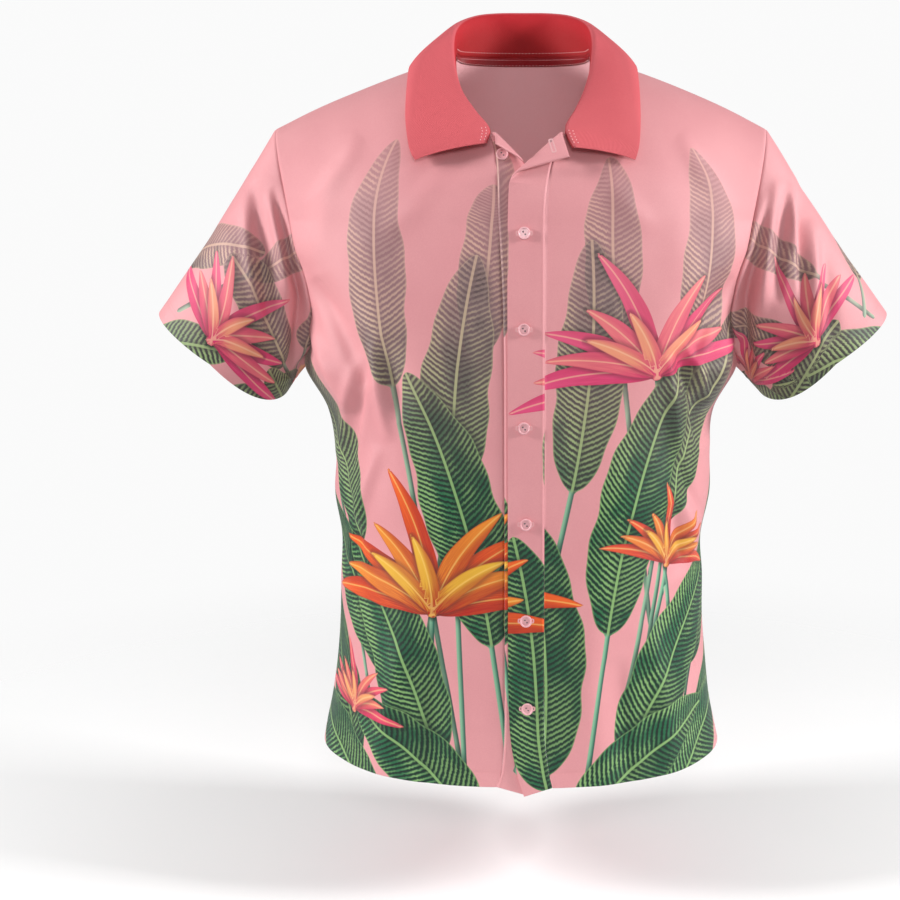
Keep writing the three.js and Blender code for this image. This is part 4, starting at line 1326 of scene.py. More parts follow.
@dataclass
class Body:
    """The fronts and the back: three printed panels that meet at the side and shoulder seams."""

    hem_depth: float = 17.0
    allowance: float = 9.0
    pitch: float = PITCH
    back_pitch: float = 3.5
    match_reach: float = 22.0
    stitch_up: float = 15.0
    stitch_dip: float = 0.35
    strip_wall: float = 0.8
    side_sink: float = 1.3
    shoulder_sink: float = 1.9
    places: np.ndarray = field(init=False)
    shares: dict[Face, np.ndarray] = field(init=False)
    panels: dict[str, np.ndarray] = field(init=False, default_factory=dict)
    plain: dict[str, np.ndarray] = field(init=False, default_factory=dict)

    def __post_init__(self) -> None:
        """Works out the grids."""
        self.places = even_places(Half(Face.FRONT, Side.LEFT), 0.45, self.pitch)
        self.shares = {face: even_shares(Half(face, Side.LEFT), 8.0, pitch)
                       for face, pitch in ((Face.FRONT, self.pitch), (Face.BACK, self.back_pitch))}
        for side in Side:
            grid = Half(Face.FRONT, side).grid(self.places, self.shares[Face.FRONT])
            self.plain["front_" + side.word] = grid if side is Side.LEFT else grid[:, ::-1]
        left = Half(Face.BACK, Side.LEFT).grid(self.places, self.shares[Face.BACK])
        right = Half(Face.BACK, Side.RIGHT).grid(self.places, self.shares[Face.BACK])
        self.plain["back"] = np.concatenate([left[:, ::-1], right[:, 1:]], axis=1)
        for name, grid in self.plain.items():
            self.panels[name] = self.creased(name, grid)
        self.match_side_seams()

    @property
    def armpit_row(self) -> int:
        """The row at the armpit."""
        return int(np.argmin(np.abs(self.places - ARMPIT)))

    def side_distance(self, name: str) -> np.ndarray:
        """Each point's distance from the panel's nearest side seam or armhole, along its row."""
        grid = self.plain[name]
        run = run_along(grid, 1)
        rest = run[:, -1:] - run
        if name == "front_left":
            return rest
        return run if name == "front_right" else np.minimum(run, rest)

    def creased(self, name: str, grid: np.ndarray) -> np.ndarray:
        """A panel with its creases and gentle unevenness.

        Args:
            name: The panel's name.
            grid: Its smooth form.

        Returns:
            The points.
        """
        x, z = grid[..., 0], grid[..., 2]
        back = name == "back"
        depth = crease_depth(BACK_CREASES if back else FRONT_CREASES, x, z)
        up = run_along(grid, 0)
        top = up[-1:] - up
        wander = 0.9 * soft_wave(x, z, 150, 11 + 2 * back) + 0.4 * soft_wave(x, z, 62, 12 + 2 * back)
        hem = 1.6 * soft_wave(x, z * 0.35, 95, 21 + back) * np.exp(-up / 130)
        calm = smooth(0, 40, top)
        if not back:
            band = run_along(grid, 1)
            band = band if name == "front_left" else band[:, -1:] - band
            calm = calm * smooth(4, 60, band)
        return grid + normals_of(grid) * (depth + (wander + hem) * calm)[..., None]

    def match_side_seams(self) -> None:
        """Brings the front and back together at the side seams and sinks every seam a little."""
        rows = slice(0, self.armpit_row + 1)
        back = self.panels["back"]
        for name, front_edge, back_edge in (("front_left", -1, 0), ("front_right", 0, -1)):
            front = self.panels[name]
            shared = (front[rows, front_edge] + back[rows, back_edge]) / 2
            shared[:, 1] = 0
            for panel, key, edge in ((front, name, front_edge), (back, "back", back_edge)):
                run = run_along(self.plain[key], 1)[rows]
                run = run if edge == 0 else run[:, -1:] - run
                pull = falloff(run, self.match_reach)[..., None]
                panel[rows] += pull * (shared - panel[rows, edge])[:, None]
        for name, grid in self.panels.items():
            sink = falloff(self.side_distance(name), EDGE_RADIUS)
            up = run_along(self.plain[name], 0)
            sink = np.maximum(sink, falloff(up[-1:] - up, EDGE_RADIUS))
            stitched = falloff(up - self.stitch_up, STITCH_REACH) * self.stitch_dip
            grid -= normals_of(grid) * (SEAM_DIP * sink + stitched)[..., None]
            sign = 1 if name == "back" else -1
            grid[..., 1] = sign * np.maximum(sign * grid[..., 1], 0.05)

    def flat(self, name: str) -> tuple[np.ndarray, np.ndarray]:
        """Each point's place on the cloth: across from the shirt's middle, and up from the hem."""
        grid = self.plain[name]
        across = run_along(grid, 1)
        if name == "front_left":
            across = across + grid[:, :1, 0]
        elif name == "front_right":
            across = across - across[:, -1:] + grid[:, -1:, 0]
        else:
            across = across - across[:, len(self.shares[Face.BACK]) - 1][:, None]
        column = run_along(grid, 0)[:, grid.shape[1] // 2]
        return across, np.repeat(column[:, None], grid.shape[1], axis=1)

    def strips(self, material: bpy.types.Material) -> list[str]:
        """Makes the pressed seam allowances inside the side and shoulder seams, and gives their names."""
        names = []
        rows = slice(4, self.armpit_row + 1)
        for side in Side:
            key = "front_" + side.word
            column = -1 if side is Side.LEFT else 0
            path = self.panels[key][rows, column] * np.array([1, 0, 1])
            inward = np.tile(np.array([-float(side.value), 0, 0]), (len(path), 1))
            names.append("seam_side_" + side.word)
            size = (self.allowance, self.strip_wall, self.side_sink)
            ribbon(names[-1], path, inward, size, material)
            share = np.linspace(NECK_SHARE + 0.02, 0.985, 70)
            path, away, _ = Half(Face.FRONT, side).edge(share)
            down = np.tile(np.array([-0.3 * side.value, 0, -1.0]), (len(path), 1))
            names.append("seam_shoulder_" + side.word)
            size = (self.allowance, self.strip_wall, self.shoulder_sink)
            ribbon(names[-1], path, unit(down), size, material)
        return names

    def build(self, finish: Sequence[bpy.types.Material]) -> None:
        """Makes the three panels and the seam allowances inside their seams."""
        names = self.strips(finish[1])
        for name, grid in self.panels.items():
            across, up = self.flat(name)
            pattern = BACK_PRINT if name == "back" else FRONT_PRINT
            wall = hemmed_wall(run_along(self.plain[name], 0), self.hem_depth)
            cloth = Cloth("cloth_" + name, grid, across, up, wall, fields=pattern.fields(across, up))
            piece = add_piece(cloth.build(finish), "shirt_cloth", name)


@dataclass
class Sleeve:
    """A set-in sleeve: from the armhole it leaves a tube out to the cuff's oval."""

    side: Side
    body: Body
    middle: tuple[float, float] = (300.5, -298.5)
    slope: tuple[float, float] = (0.831, 0.557)
    across: float = 149.0
    deep: float = 120.0
    push: float = 6.0
    low_push: float = 17.0
    face_bulge: float = 9.0
    top_bulge: float = -4.0
    hem_depth: float = 18.0
    stitch_up: float = 16.0
    stitch_dip: float = 0.3
    strip_gap: float = 0.3
    strip_wall: float = 0.7
    grid: np.ndarray = field(init=False)
    plain: np.ndarray = field(init=False)
    angles: np.ndarray = field(init=False)

    def __post_init__(self) -> None:
        """Works out the sleeve's points."""
        ring, self.angles = self.ring()
        target = self.cuff(self.angles)
        length = np.linalg.norm(target - ring, axis=-1).mean()
        shares = np.linspace(0, 1, int(length / (PITCH * 0.95)) + 1)
        shares = np.sort(np.concatenate([shares, np.array([0.5, 1.2, length - 1.2, length - 0.5]) / length]))
        grid = ring[None] + (target - ring)[None] * shares[:, None, None]
        swell = np.sin(math.pi * shares)[:, None]
        grid[..., 1] += np.sign(grid[..., 1]) * self.face_bulge * swell * np.abs(np.sin(self.angles))
        grid[..., 2] += self.top_bulge * swell * np.maximum(0, np.cos(self.angles))
        self.plain = grid
        ease = np.minimum(1, 10 * shares)[:, None]
        x, z = np.abs(grid[..., 0]), grid[..., 2]
        front = crease_depth(SLEEVE_FRONT_CREASES[self.side], x, z)
        back = crease_depth(SLEEVE_BACK_CREASES[self.side], x, z)
        facing = smooth(-0.3, 0.3, -np.sin(self.angles))
        depth = (front * facing + back * (1 - facing)) * ease
        wander = 0.8 * soft_wave(x, z + grid[..., 1], 80, 31 + self.side.value) * ease
        run = run_along(grid, 0)
        rise = SEAM_DIP * (1 - falloff(run, EDGE_RADIUS)) * (1 - shares[:, None])
        stitched = self.stitch_dip * falloff(run[-1:] - run - self.stitch_up, STITCH_REACH)
        self.grid = grid + normals_of(grid, True) * (depth + wander + rise - stitched)[..., None]

    def ring(self) -> tuple[np.ndarray, np.ndarray]:
        """The armhole's points and their angles round the sleeve, 0 at the shoulder and below 0 in front.

        Returns:
            The points and the angles.
        """
        body, first = self.body, self.body.armpit_row
        places = body.places[first:]
        front = body.panels["front_" + self.side.word][first:, -1 if self.side is Side.LEFT else 0]
        back = body.panels["back"][first:, 0 if self.side is Side.LEFT else -1]
        share = np.where(places <= CHEST_LINE, 0.5 * (places - ARMPIT) / (CHEST_LINE - ARMPIT),
                         0.5 + 0.5 * (places - CHEST_LINE))
        points = np.concatenate([(front[:1] + back[:1]) / 2, front[1:-1], (front[-1:] + back[-1:]) / 2,
                                 back[-2:0:-1]])
        turn = math.pi * (1 - share)
        angles = np.concatenate([-turn, turn[-2:0:-1]])
        if self.side is Side.LEFT:
            return points[::-1].copy(), angles[::-1].copy()
        return points, angles

    def cuff(self, angles: np.ndarray) -> np.ndarray:
        """The points of the cuff's edge.

        Args:
            angles: The angles round the sleeve.

        Returns:
            The points.
        """
        out = self.side.value
        across = np.cos(angles) * self.across / 2
        deep = np.sin(angles) * self.deep / 2
        points = np.stack([out * (self.middle[0] + across * self.slope[0]), deep,
                           self.middle[1] + across * self.slope[1]], axis=-1)
        sag = np.abs(np.sin(angles)) * (self.push + self.low_push * np.maximum(0, -np.cos(angles)))
        return points + np.array([out * self.slope[1], 0, -self.slope[0]]) * sag[:, None]

    def flat(self) -> tuple[np.ndarray, np.ndarray, np.ndarray]:
        """Each point's place on the cloth, from the shoulder line and up from the cuff, and the girths."""
        run = run_along(self.plain, 0)
        closed = np.concatenate([self.plain, self.plain[:, :1]], axis=1)
        around = run_along(closed, 1)
        middle = np.abs(self.angles).argmin()
        across = around[:, :-1] - around[:, middle][:, None]
        girth = around[:, -1:]
        across = np.where(across > girth / 2, across - girth, across)
        across = np.where(across < -girth / 2, across + girth, across)
        return across, run[-1:] - run, girth

    def strip(self, material: bpy.types.Material) -> bpy.types.Object:
        """Makes the pressed seam allowance inside the armhole."""
        inside = self.grid - normals_of(self.grid, True) * (CLOTH_WALL + self.strip_gap)
        rows = int(self.body.allowance / PITCH) + 3
        outer = inside[1:rows]
        run, up = run_along(outer, 1), run_along(outer, 0)
        thickness = self.strip_wall * rounded(np.minimum(up, up[-1:] - up), self.strip_wall)
        cloth = Cloth("seam_armhole_" + self.side.word, outer, run, up, loop=True, thickness=thickness)
        return add_piece(cloth.build([material, material]), "shirt_cloth")

    def build(self, finish: Sequence[bpy.types.Material]) -> bpy.types.Object:
        """Makes the sleeve and the seam allowance inside its armhole."""
        across, rest, girth = self.flat()
        wall = hemmed_wall(rest, self.hem_depth)
        name = "sleeve_" + self.side.word
        cloth = Cloth("cloth_" + name, self.grid, across, rest, wall, loop=True,
                      fields=SLEEVE_PRINT.fields(across, rest))
        piece = add_piece(cloth.build(finish), "shirt_cloth", name)
        strip = self.strip(finish[1])
        "cloth_front_" + self.side.word
        return piece


@dataclass
class Band:
    """A front band: a doubled strip from its seam to its free edge, with its top turned out."""

    side: Side
    body: Body
    opening: float = 7.0
    gap: float = 0.12
    grid: np.ndarray = field(init=False)

    def lapel_frame(self) -> tuple[np.ndarray, np.ndarray, np.ndarray, np.ndarray]:
        """The roll line's start, the directions across it and out of it, and the band's unturned corner."""
        lapel = LAPELS[self.side]
        start = np.array(lapel.start)
        neck_end = Half(Face.FRONT, self.side).grid(np.array([float(TOP_EDGE)]), np.array([0.0]))[0, 0]
        length = float(np.linalg.norm(neck_end - start))
        run = (neck_end - start) / length
        out = unit(np.array([0, -(neck_end[2] - start[2]), neck_end[1] - start[1]]))
        toward = np.cross(out, run)
        toward = toward if toward[2] >= 0 else -toward
        edge = math.sqrt(length * length - lapel.width * lapel.width)
        corner = start + run * (edge * edge / length) + toward * (edge * lapel.width / length)
        return start, toward, out, corner

    def __post_init__(self) -> None:
        """Works out the band's points."""
        places = self.body.places
        half, lapel = Half(Face.FRONT, self.side), LAPELS[self.side]
        start, toward, out, corner = self.lapel_frame()
        seam = half.grid(places, np.array([0.0]))[:, 0]
        bend = int(np.argmax(seam[:, 2] >= start[2] - 4))
        above = np.clip(places - CHEST_LINE, 0, 1)
        left = self.side is Side.LEFT
        seam[:, 0] += (-self.gap if left else self.gap) * (1 + self.opening * above ** 2)
        below = np.minimum(places, CHEST_LINE)
        free = seam.copy()
        free[:, 0] = FRONT_ROWS.at("freeL" if left else "freeR", below)
        free[:, 2] += FRONT_ROWS.at("droop", below)
        ease = np.clip((places - CHEST_LINE) / max(places[bend] - CHEST_LINE, 1e-6), 0, 1)[:, None]
        free = free * (1 - ease) + start * ease
        share = np.clip((places - places[bend]) / (TOP_EDGE - places[bend]), 0, 1)[:, None]
        turned = start * (1 - share) + corner * share
        free = np.where(np.arange(len(places))[:, None] < bend, free, turned)
        width = np.linalg.norm(free - seam, axis=-1)
        across = (free - seam) / width[:, None]
        pace = across @ toward
        reached = (seam - start) @ toward
        safe = np.where(np.abs(pace) < 1e-6, 1e-6, pace)
        begin = np.clip(np.where(pace > 0, -reached / safe / width, 1), 0.08, 0.76)
        turn = math.radians(lapel.turn)
        arc = lapel.radius * turn / np.maximum(pace, 0.2) / width
        arc = np.clip(arc, 0.12, 0.9 - begin)
        first = np.linspace(0, 1, 9)[None, :-1] * begin[:, None]
        curl = begin[:, None] + arc[:, None] * np.linspace(0, 1, 13)[None, :-1]
        tail = np.array([0, 0.2, 0.4, 0.6, 0.8, 0.93, 1.0])
        last = (begin + arc)[:, None] + (1 - begin - arc)[:, None] * tail[None]
        shares = np.concatenate([first, curl, last], axis=1)[..., None]
        grid = seam[:, None] * (1 - shares) + free[:, None] * shares
        grid[..., 1] += BAND_WALL / 2
        beyond = (grid - start) @ toward
        angle = np.clip(beyond / lapel.radius, 0, turn)
        rest = beyond - lapel.radius * angle
        along = lapel.radius * np.sin(angle) + rest * np.cos(angle) - beyond
        away = lapel.radius * (1 - np.cos(angle)) + rest * np.sin(angle)
        rolled = grid + toward * along[..., None] + out * away[..., None]
        grid = np.where((beyond > 0)[..., None], rolled, grid)
        self.grid = offset(grid[:, ::-1] if left else grid, BAND_WALL / 2)

    def flat(self) -> tuple[np.ndarray, np.ndarray]:
        """Each point's place on the front's cloth, across from the shirt's middle and up from the hem."""
        across, above = BAND_ON_PRINT[self.side]
        run, up = run_along(self.grid, 1), run_along(self.grid, 0)
        column = up[:, up.shape[1] // 2][:, None] + 0 * up
        return run + across, column + above

    def build(self, finish: Sequence[bpy.types.Material]) -> bpy.types.Object:
        """Makes the band."""
        left = self.side is Side.LEFT
        run = run_along(self.grid, 1)
        rest = run[:, -1:] - run
        up = run_along(self.grid, 0)
        free_edge = run if left else rest
        thickness = BAND_WALL * np.minimum(rounded(free_edge, 1.1), rounded(up, 1.1))
        thickness = np.minimum(thickness, BAND_WALL * rounded(up[-1:] - up, 1.1))
        across, column = self.flat()
        name = "placket_" + self.side.word
        fields = FRONT_PRINT.fields(across, column)
        cloth = Cloth("cloth_" + name, self.grid, across, column, thickness=thickness, fields=fields)
        piece = add_piece(cloth.build(finish), "band_cloth", name)
        area = area_of(self.grid)
        "cloth_front_" + self.side.word
        return piece


@dataclass
class Collar:
    """The turned-down collar: a stand up from the neck seam, a soft fold, and a leaf down to its edge."""

    columns: int = 230
    stand_rows: int = 14
    leaf_rows: int = 44
    # How much further down the stand the coral reaches towards the front ends: painted light on its inner
    # face.
    bright: float = 0.45
    grid: np.ndarray = field(init=False)

    def __post_init__(self) -> None:
        """Works out the collar's points."""
        fine = np.linspace(0, COLLAR.last, 1200)
        edge = COLLAR.points("ex ey ez", fine)
        run = run_along(edge, 0)
        wanted = np.linspace(0, run[-1], self.columns)
        wanted = np.sort(np.concatenate([wanted, [0.4, 1.0, run[-1] - 1.0, run[-1] - 0.4]]))
        place = np.interp(wanted, run, fine)[::-1]
        seam, fold, edge = (COLLAR.points(names, place) for names in ("sx sy sz", "fx fy fz", "ex ey ez"))
        roll, swell = COLLAR.at("roll", place)[:, None], COLLAR.at("swell", place)
        away = (edge - seam) * np.array([1, 1, 0])
        away = unit(away)
        inside = fold - away * roll
        outside = fold + away * roll * 1.3
        stand_arm = (seam + fold) / 2 - away * roll * 0.4
        leaf_arm = fold + (edge - fold) * 0.6 + away * roll * 0.7
        leaf_arm[:, 2] = (fold[:, 2] + edge[:, 2]) / 2 + 2 + 0.8 * swell
        leaf_arm[:, 1] -= 0.6 * swell
        rows = [bezier(seam, stand_arm, inside, fold, np.full(len(place), k / self.stand_rows))
                for k in range(self.stand_rows)]
        steps = np.linspace(0, 1, self.leaf_rows + 1) ** 1.3
        steps = np.sort(np.concatenate([steps, [0.985, 0.994]]))
        rows += [bezier(fold, outside, leaf_arm, edge, np.full(len(place), t)) for t in steps]
        grid = np.array(rows)
        self.grid = offset(grid, COLLAR_WALL / 2)

    def build(self, finish: Sequence[bpy.types.Material]) -> bpy.types.Object:
        """Makes the collar."""
        up = run_along(self.grid, 0)
        run = run_along(self.grid, 1)
        rim = np.minimum(np.minimum(run, run[:, -1:] - run), up[-1:] - up)
        ahead = smooth(0.1, 0.26, np.abs(run / run[:, -1:] - 0.5))
        turn = np.clip(np.arange(len(self.grid)) / self.stand_rows, 0, 1.2)[:, None] + self.bright * ahead
        cloth = Cloth("cloth_collar", self.grid, run, up, thickness=COLLAR_WALL * rounded(rim, 1.1),
                      fields={"turn": turn})
        piece = add_piece(cloth.build(finish, 0), "collar_cloth", "collar")
        area = area_of(self.grid)
        return piece


def ribbon(name: str, path: np.ndarray, inward: np.ndarray, size: tuple[float, float, float],
           material: bpy.types.Material) -> bpy.types.Object:
    """A narrow strip of the shirt's cloth that lies on its inside along a line.

    Args:
        name: The piece's name.
        path: The line's points, in millimetres.
        inward: The direction into the shirt at each point.
        size: The strip's width, its thickness, and how far inside the line its outer face lies.
        material: Its finish.

    Returns:
        The new object.
    """
    width, wall, sink = size
    along = unit(np.gradient(path, axis=0))
    side = unit(np.cross(along, inward))
    shares = np.array([-0.5, -0.42, -0.2, 0, 0.2, 0.42, 0.5])
    outer = path[:, None] + side[:, None] * (shares * width)[None, :, None] + inward[:, None] * sink
    facing = normals_of(outer)
    if (facing * -inward[:, None]).sum() < 0:
        outer = outer[:, ::-1]
    run, up = run_along(outer, 1), run_along(outer, 0)
    thickness = wall * rounded(np.minimum(run, run[:, -1:] - run), width * 0.12)
    piece = Cloth(name, outer, run, up, thickness=thickness).build([material, material])
    return add_piece(piece, "shirt_cloth")


@dataclass
class NeckTape:
    """The tape that covers the back neck seam, from one shoulder seam to the other."""

    above: float = 3.2
    below: float = 7.6
    wall: float = 0.6
    gap: float = 0.25
    columns: int = 60
    lean: float = 0.2
    grid: np.ndarray = field(init=False)

    def __post_init__(self) -> None:
        """Works out the tape's points: up the collar's stand and down the back from the seam."""
        share = np.linspace(0, 0.97 * NECK_SHARE, self.columns)
        reach = np.array([
            -self.above, -0.7 * self.above, -0.3 * self.above, 0.3, 1.5, 3.0, 4.5, 6.0, self.below,
        ])
        halves = []
        for side in Side:
            top, away, _ = Half(Face.BACK, side).edge(share)
            away = unit(away)
            plan = unit(top * np.array([1, 1, 0]))
            rise = unit(plan * self.lean + np.array([0, 0, 1.0]))
            rows = [top + (away * s if s > 0 else rise * -s) for s in reach]
            halves.append(np.array(rows))
        grid = np.concatenate([halves[0][:, ::-1], halves[1][:, 1:]], axis=1)
        if normals_of(grid)[len(reach) // 2, self.columns][1] > 0:
            grid = grid[:, ::-1]
        self.grid = offset(grid, CLOTH_WALL + self.gap + self.wall)

    def build(self, material: bpy.types.Material) -> bpy.types.Object:
        """Makes the tape."""
        run, up = run_along(self.grid, 1), run_along(self.grid, 0)
        rim = np.minimum(np.minimum(run, run[:, -1:] - run), np.minimum(up, up[-1:] - up))
        cloth = Cloth("tape_neck", self.grid, run, up, thickness=self.wall * rounded(rim, 0.5))
        piece = add_piece(cloth.build([material, material]), "tape_cloth", "neck_tape")
        round(area_of(self.grid), 5)
        return piece


def select(piece: bpy.types.Object, kind: str,
           chosen: Callable[[bmesh.types.BMFace | bmesh.types.BMEdge], bool]) -> None:
    """Selects a piece's faces or edges in edit mode for which chosen is true, and no others.

    Args:
        piece: The object.
        kind: FACE or EDGE.
        chosen: Tells whether one of them is wanted.
    """
    bpy.ops.mesh.select_mode(type=kind)
    bpy.ops.mesh.select_all(action="DESELECT")
    shape = bmesh.from_edit_mesh(piece.data)
    for part in shape.faces if kind == "FACE" else shape.edges:
        part.select_set(bool(chosen(part)))
    bmesh.update_edit_mesh(piece.data)


def placed_copy(model: bpy.types.Object, name: str, place: np.ndarray, outward: np.ndarray,
                across: np.ndarray) -> bpy.types.Object:
    """A copy of a model with its own mesh, put in its place.

    Args:
        model: The object to copy, modelled at the origin with +Z outward.
        name: The copy's name.
        place: Where its origin goes, in millimetres.
        outward: The direction its +Z takes.
        across: The direction its +X takes, as nearly as outward lets it.

    Returns:
        The copy.
    """
    z_axis = unit(outward)
    x_axis = unit(across - z_axis * (across @ z_axis))
    y_axis = np.cross(z_axis, x_axis)
    turn = Matrix(np.stack([x_axis, y_axis, z_axis], axis=1).tolist()).to_4x4()
    made = model.copy()
    made.data = model.data.copy()
    made.name = made.data.name = name
    made.data.transform(Matrix.Translation(Vector(place * METRE)) @ turn)
    bpy.context.scene.collection.objects.link(made)
    return made


@dataclass
class Buttons:
    """Seven two-hole buttons: a dished disc with a raised rim, and thread in its holes, painted nearly black
    as shade.
    """

    count: int = 7
    rim: float = 1.2
    slope: float = 0.5
    dish: float = 0.85
    hole_radius: float = 0.8
    hole_reach: float = 1.55
    hole_floor: float = -0.35
    slant: float = -48.0

    def seat(self, name: str) -> tuple[np.ndarray, np.ndarray, float, float]:
        """Where a packed button sits.

        Args:
            name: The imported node.

        Returns:
            Its centre, its outward axis, its radius and its thickness, in millimetres.
        """
        points = np.array([vertex.co for vertex in bpy.data.objects[name].data.vertices]) / METRE
        centre = (points.min(axis=0) + points.max(axis=0)) / 2
        points = np.unique(np.round(points, 3), axis=0)
        _, _, axes = np.linalg.svd(points - points.mean(axis=0))
        axis = axes[2] * (-1 if axes[2][1] > 0 else 1)
        along = (points - centre) @ axis
        centre = centre + axis * (along.max() + along.min()) / 2
        flat = points - centre - ((points - centre) @ axis)[:, None] * axis
        return centre, axis, float(np.linalg.norm(flat, axis=1).max()), float(np.ptp(along))

    def model(self, radius: float, depth: float,
              materials: Sequence[bpy.types.Material]) -> bpy.types.Object:
        """Models one button at the origin, facing up.

        Args:
            radius: The disc's radius.
            depth: Its thickness.
            materials: The resin, then the thread at the holes' floors, painted dark as their shade.

        Returns:
            The button.
        """
        bpy.ops.object.select_all(action="DESELECT")
        bpy.ops.mesh.primitive_cylinder_add(vertices=48, radius=radius * METRE, depth=depth * METRE)
        disc = bpy.context.object
        bpy.ops.object.mode_set(mode="EDIT")
        select(disc, "FACE", lambda face: face.normal.z > 0.9)
        bpy.ops.mesh.inset(thickness=self.rim * METRE)
        bpy.ops.mesh.inset(thickness=self.slope * METRE)
        bpy.ops.transform.translate(value=(0, 0, -self.dish * METRE))
        edge = radius * METRE * 0.999
        select(disc, "EDGE", lambda side: all(math.hypot(v.co.x, v.co.y) > edge for v in side.verts)
               and abs(side.verts[0].co.z - side.verts[1].co.z) < METRE / 100)
        bpy.ops.mesh.bevel(offset=0.32 * METRE, segments=3)
        inner = (radius - self.rim) * METRE
        select(disc, "EDGE", lambda side: all(
            abs(math.hypot(v.co.x, v.co.y) - inner) < METRE / 20 for v in side.verts))
        bpy.ops.mesh.bevel(offset=0.16 * METRE, segments=2)
        bpy.ops.object.mode_set(mode="OBJECT")
        turn = math.radians(self.slant)
        reach = self.hole_reach * METRE
        bottom, tall = self.hole_floor * METRE, depth * METRE
        for sign in (-1, 1):
            place = (sign * reach * math.cos(turn), sign * reach * math.sin(turn), bottom + tall / 2)
            bpy.ops.mesh.primitive_cylinder_add(
                vertices=20, radius=self.hole_radius * METRE, depth=tall, location=place)
            drill = bpy.context.object
            cut = disc.modifiers.new("hole", "BOOLEAN")
            cut.operation, cut.object, cut.solver = "DIFFERENCE", drill, "EXACT"
            bpy.context.view_layer.objects.active = disc
            bpy.ops.object.modifier_apply(modifier="hole")
            bpy.data.objects.remove(drill)
        for material in materials:
            disc.data.materials.append(material)
        # The holes' floors take the thread's finish, nearly black: the thread and painted shade down the
        # holes.
        for face in disc.data.polygons:
            face.material_index = int(abs(face.center.z - bottom) < METRE / 20 and face.normal.z > 0.9)
        disc.select_set(True)
        bpy.context.view_layer.objects.active = disc
        bpy.ops.object.shade_smooth_by_angle(angle=math.radians(40))
        return disc

    def build(self, materials: Sequence[bpy.types.Material]) -> list[np.ndarray]:
        """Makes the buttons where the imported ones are, and gives their centres."""
        names = [f"button_{k + 1}" for k in range(self.count)]
        _, _, radius, depth = self.seat(names[0])
        model = self.model(radius, depth, materials)
        centres = []
        for name in names:
            centre, axis, _, _ = self.seat(name)
            made = placed_copy(model, name.replace("_", "_disc_"), centre, axis, np.array([1.0, 0, 0]))
            add_piece(made, "button", name)
            centres.append(centre)
        bpy.data.objects.remove(model)
        return centres


@dataclass
class Buttonholes:
    """Corded buttonholes on the top band: worked ovals with a slit, one of them on the turned end."""

    length: float = 15.6
    width: float = 4.6
    height: float = 0.5
    proud: float = 0.28
    cord: float = 1.45
    lapel_up: float = 14.0
    lapel_share: float = 0.46

    def model(self, materials: Sequence[bpy.types.Material]) -> bpy.types.Object:
        """Models one buttonhole at the origin, lying along X and facing up.

        Args:
            materials: The thread, then the slit, painted dark as the shade in it.

        Returns:
            The buttonhole.
        """
        bpy.ops.object.select_all(action="DESELECT")
        size = (self.length * METRE, self.width * METRE, self.height * METRE)
        bpy.ops.mesh.primitive_cube_add(size=1, scale=size)
        made = bpy.context.object
        bpy.ops.object.transform_apply(scale=True)
        bpy.ops.object.mode_set(mode="EDIT")
        select(made, "EDGE", lambda edge: abs(edge.verts[0].co.z - edge.verts[1].co.z) > METRE / 10)
        bpy.ops.mesh.bevel(offset=1.3 * METRE, segments=4)
        select(made, "FACE", lambda face: face.normal.z > 0.9)
        bpy.ops.mesh.inset(thickness=self.cord * METRE)
        bpy.ops.transform.translate(value=(0, 0, -0.3 * METRE))
        bpy.ops.mesh.inset(thickness=0.12 * METRE)
        top = self.height / 2 * METRE - METRE / 100
        select(made, "EDGE", lambda edge: all(v.co.z > top for v in edge.verts))
        bpy.ops.mesh.bevel(offset=0.2 * METRE, segments=2)
        bpy.ops.object.mode_set(mode="OBJECT")
        for material in materials:
            made.data.materials.append(material)
        # The slit's sunken floor takes the dark finish: painted shade in the cut.
        for face in made.data.polygons:
            face.material_index = int(face.normal.z > 0.9 and face.center.z < 0)
        bpy.ops.object.shade_smooth_by_angle(angle=math.radians(50))
        return made

    def build(self, band: Band, centres: Sequence[np.ndarray],
              materials: Sequence[bpy.types.Material]) -> None:
        """Makes the buttonholes.

        Args:
            band: The top band.
            centres: The centres of the buttons on the top band.
            materials: The thread, then the slit, painted dark as the shade in it.
        """
        model = self.model(materials)
        facing = normals_of(band.grid)
        lift = self.proud - self.height / 2
        for k, centre in enumerate(centres):
            away = np.linalg.norm(band.grid - centre, axis=-1)
            spot = np.unravel_index(away.argmin(), away.shape)
            drop = (centre - band.grid[spot]) @ facing[spot]
            place = centre - facing[spot] * (drop - lift)
            made = placed_copy(model, f"buttonhole_{k + 2}", place, facing[spot], np.array([1.0, 0, 0]))
            add_piece(made, "band_cloth")
        up = run_along(band.grid, 0)
        row = int(np.argmin(np.abs(up[-1, 0] - up[:, 0] - self.lapel_up)))
        run = run_along(band.grid, 1)[row]
        column = int(np.argmin(np.abs(run - self.lapel_share * run[-1])))
        outward = -facing[row, column]
        place = band.grid[row, column] + outward * (BAND_WALL + lift)
        along = unit(band.grid[-1, column + 1] - band.grid[-1, column - 1])
        made = placed_copy(model, "buttonhole_1", place, outward, along)
        add_piece(made, "band_cloth")
        bpy.data.objects.remove(model)


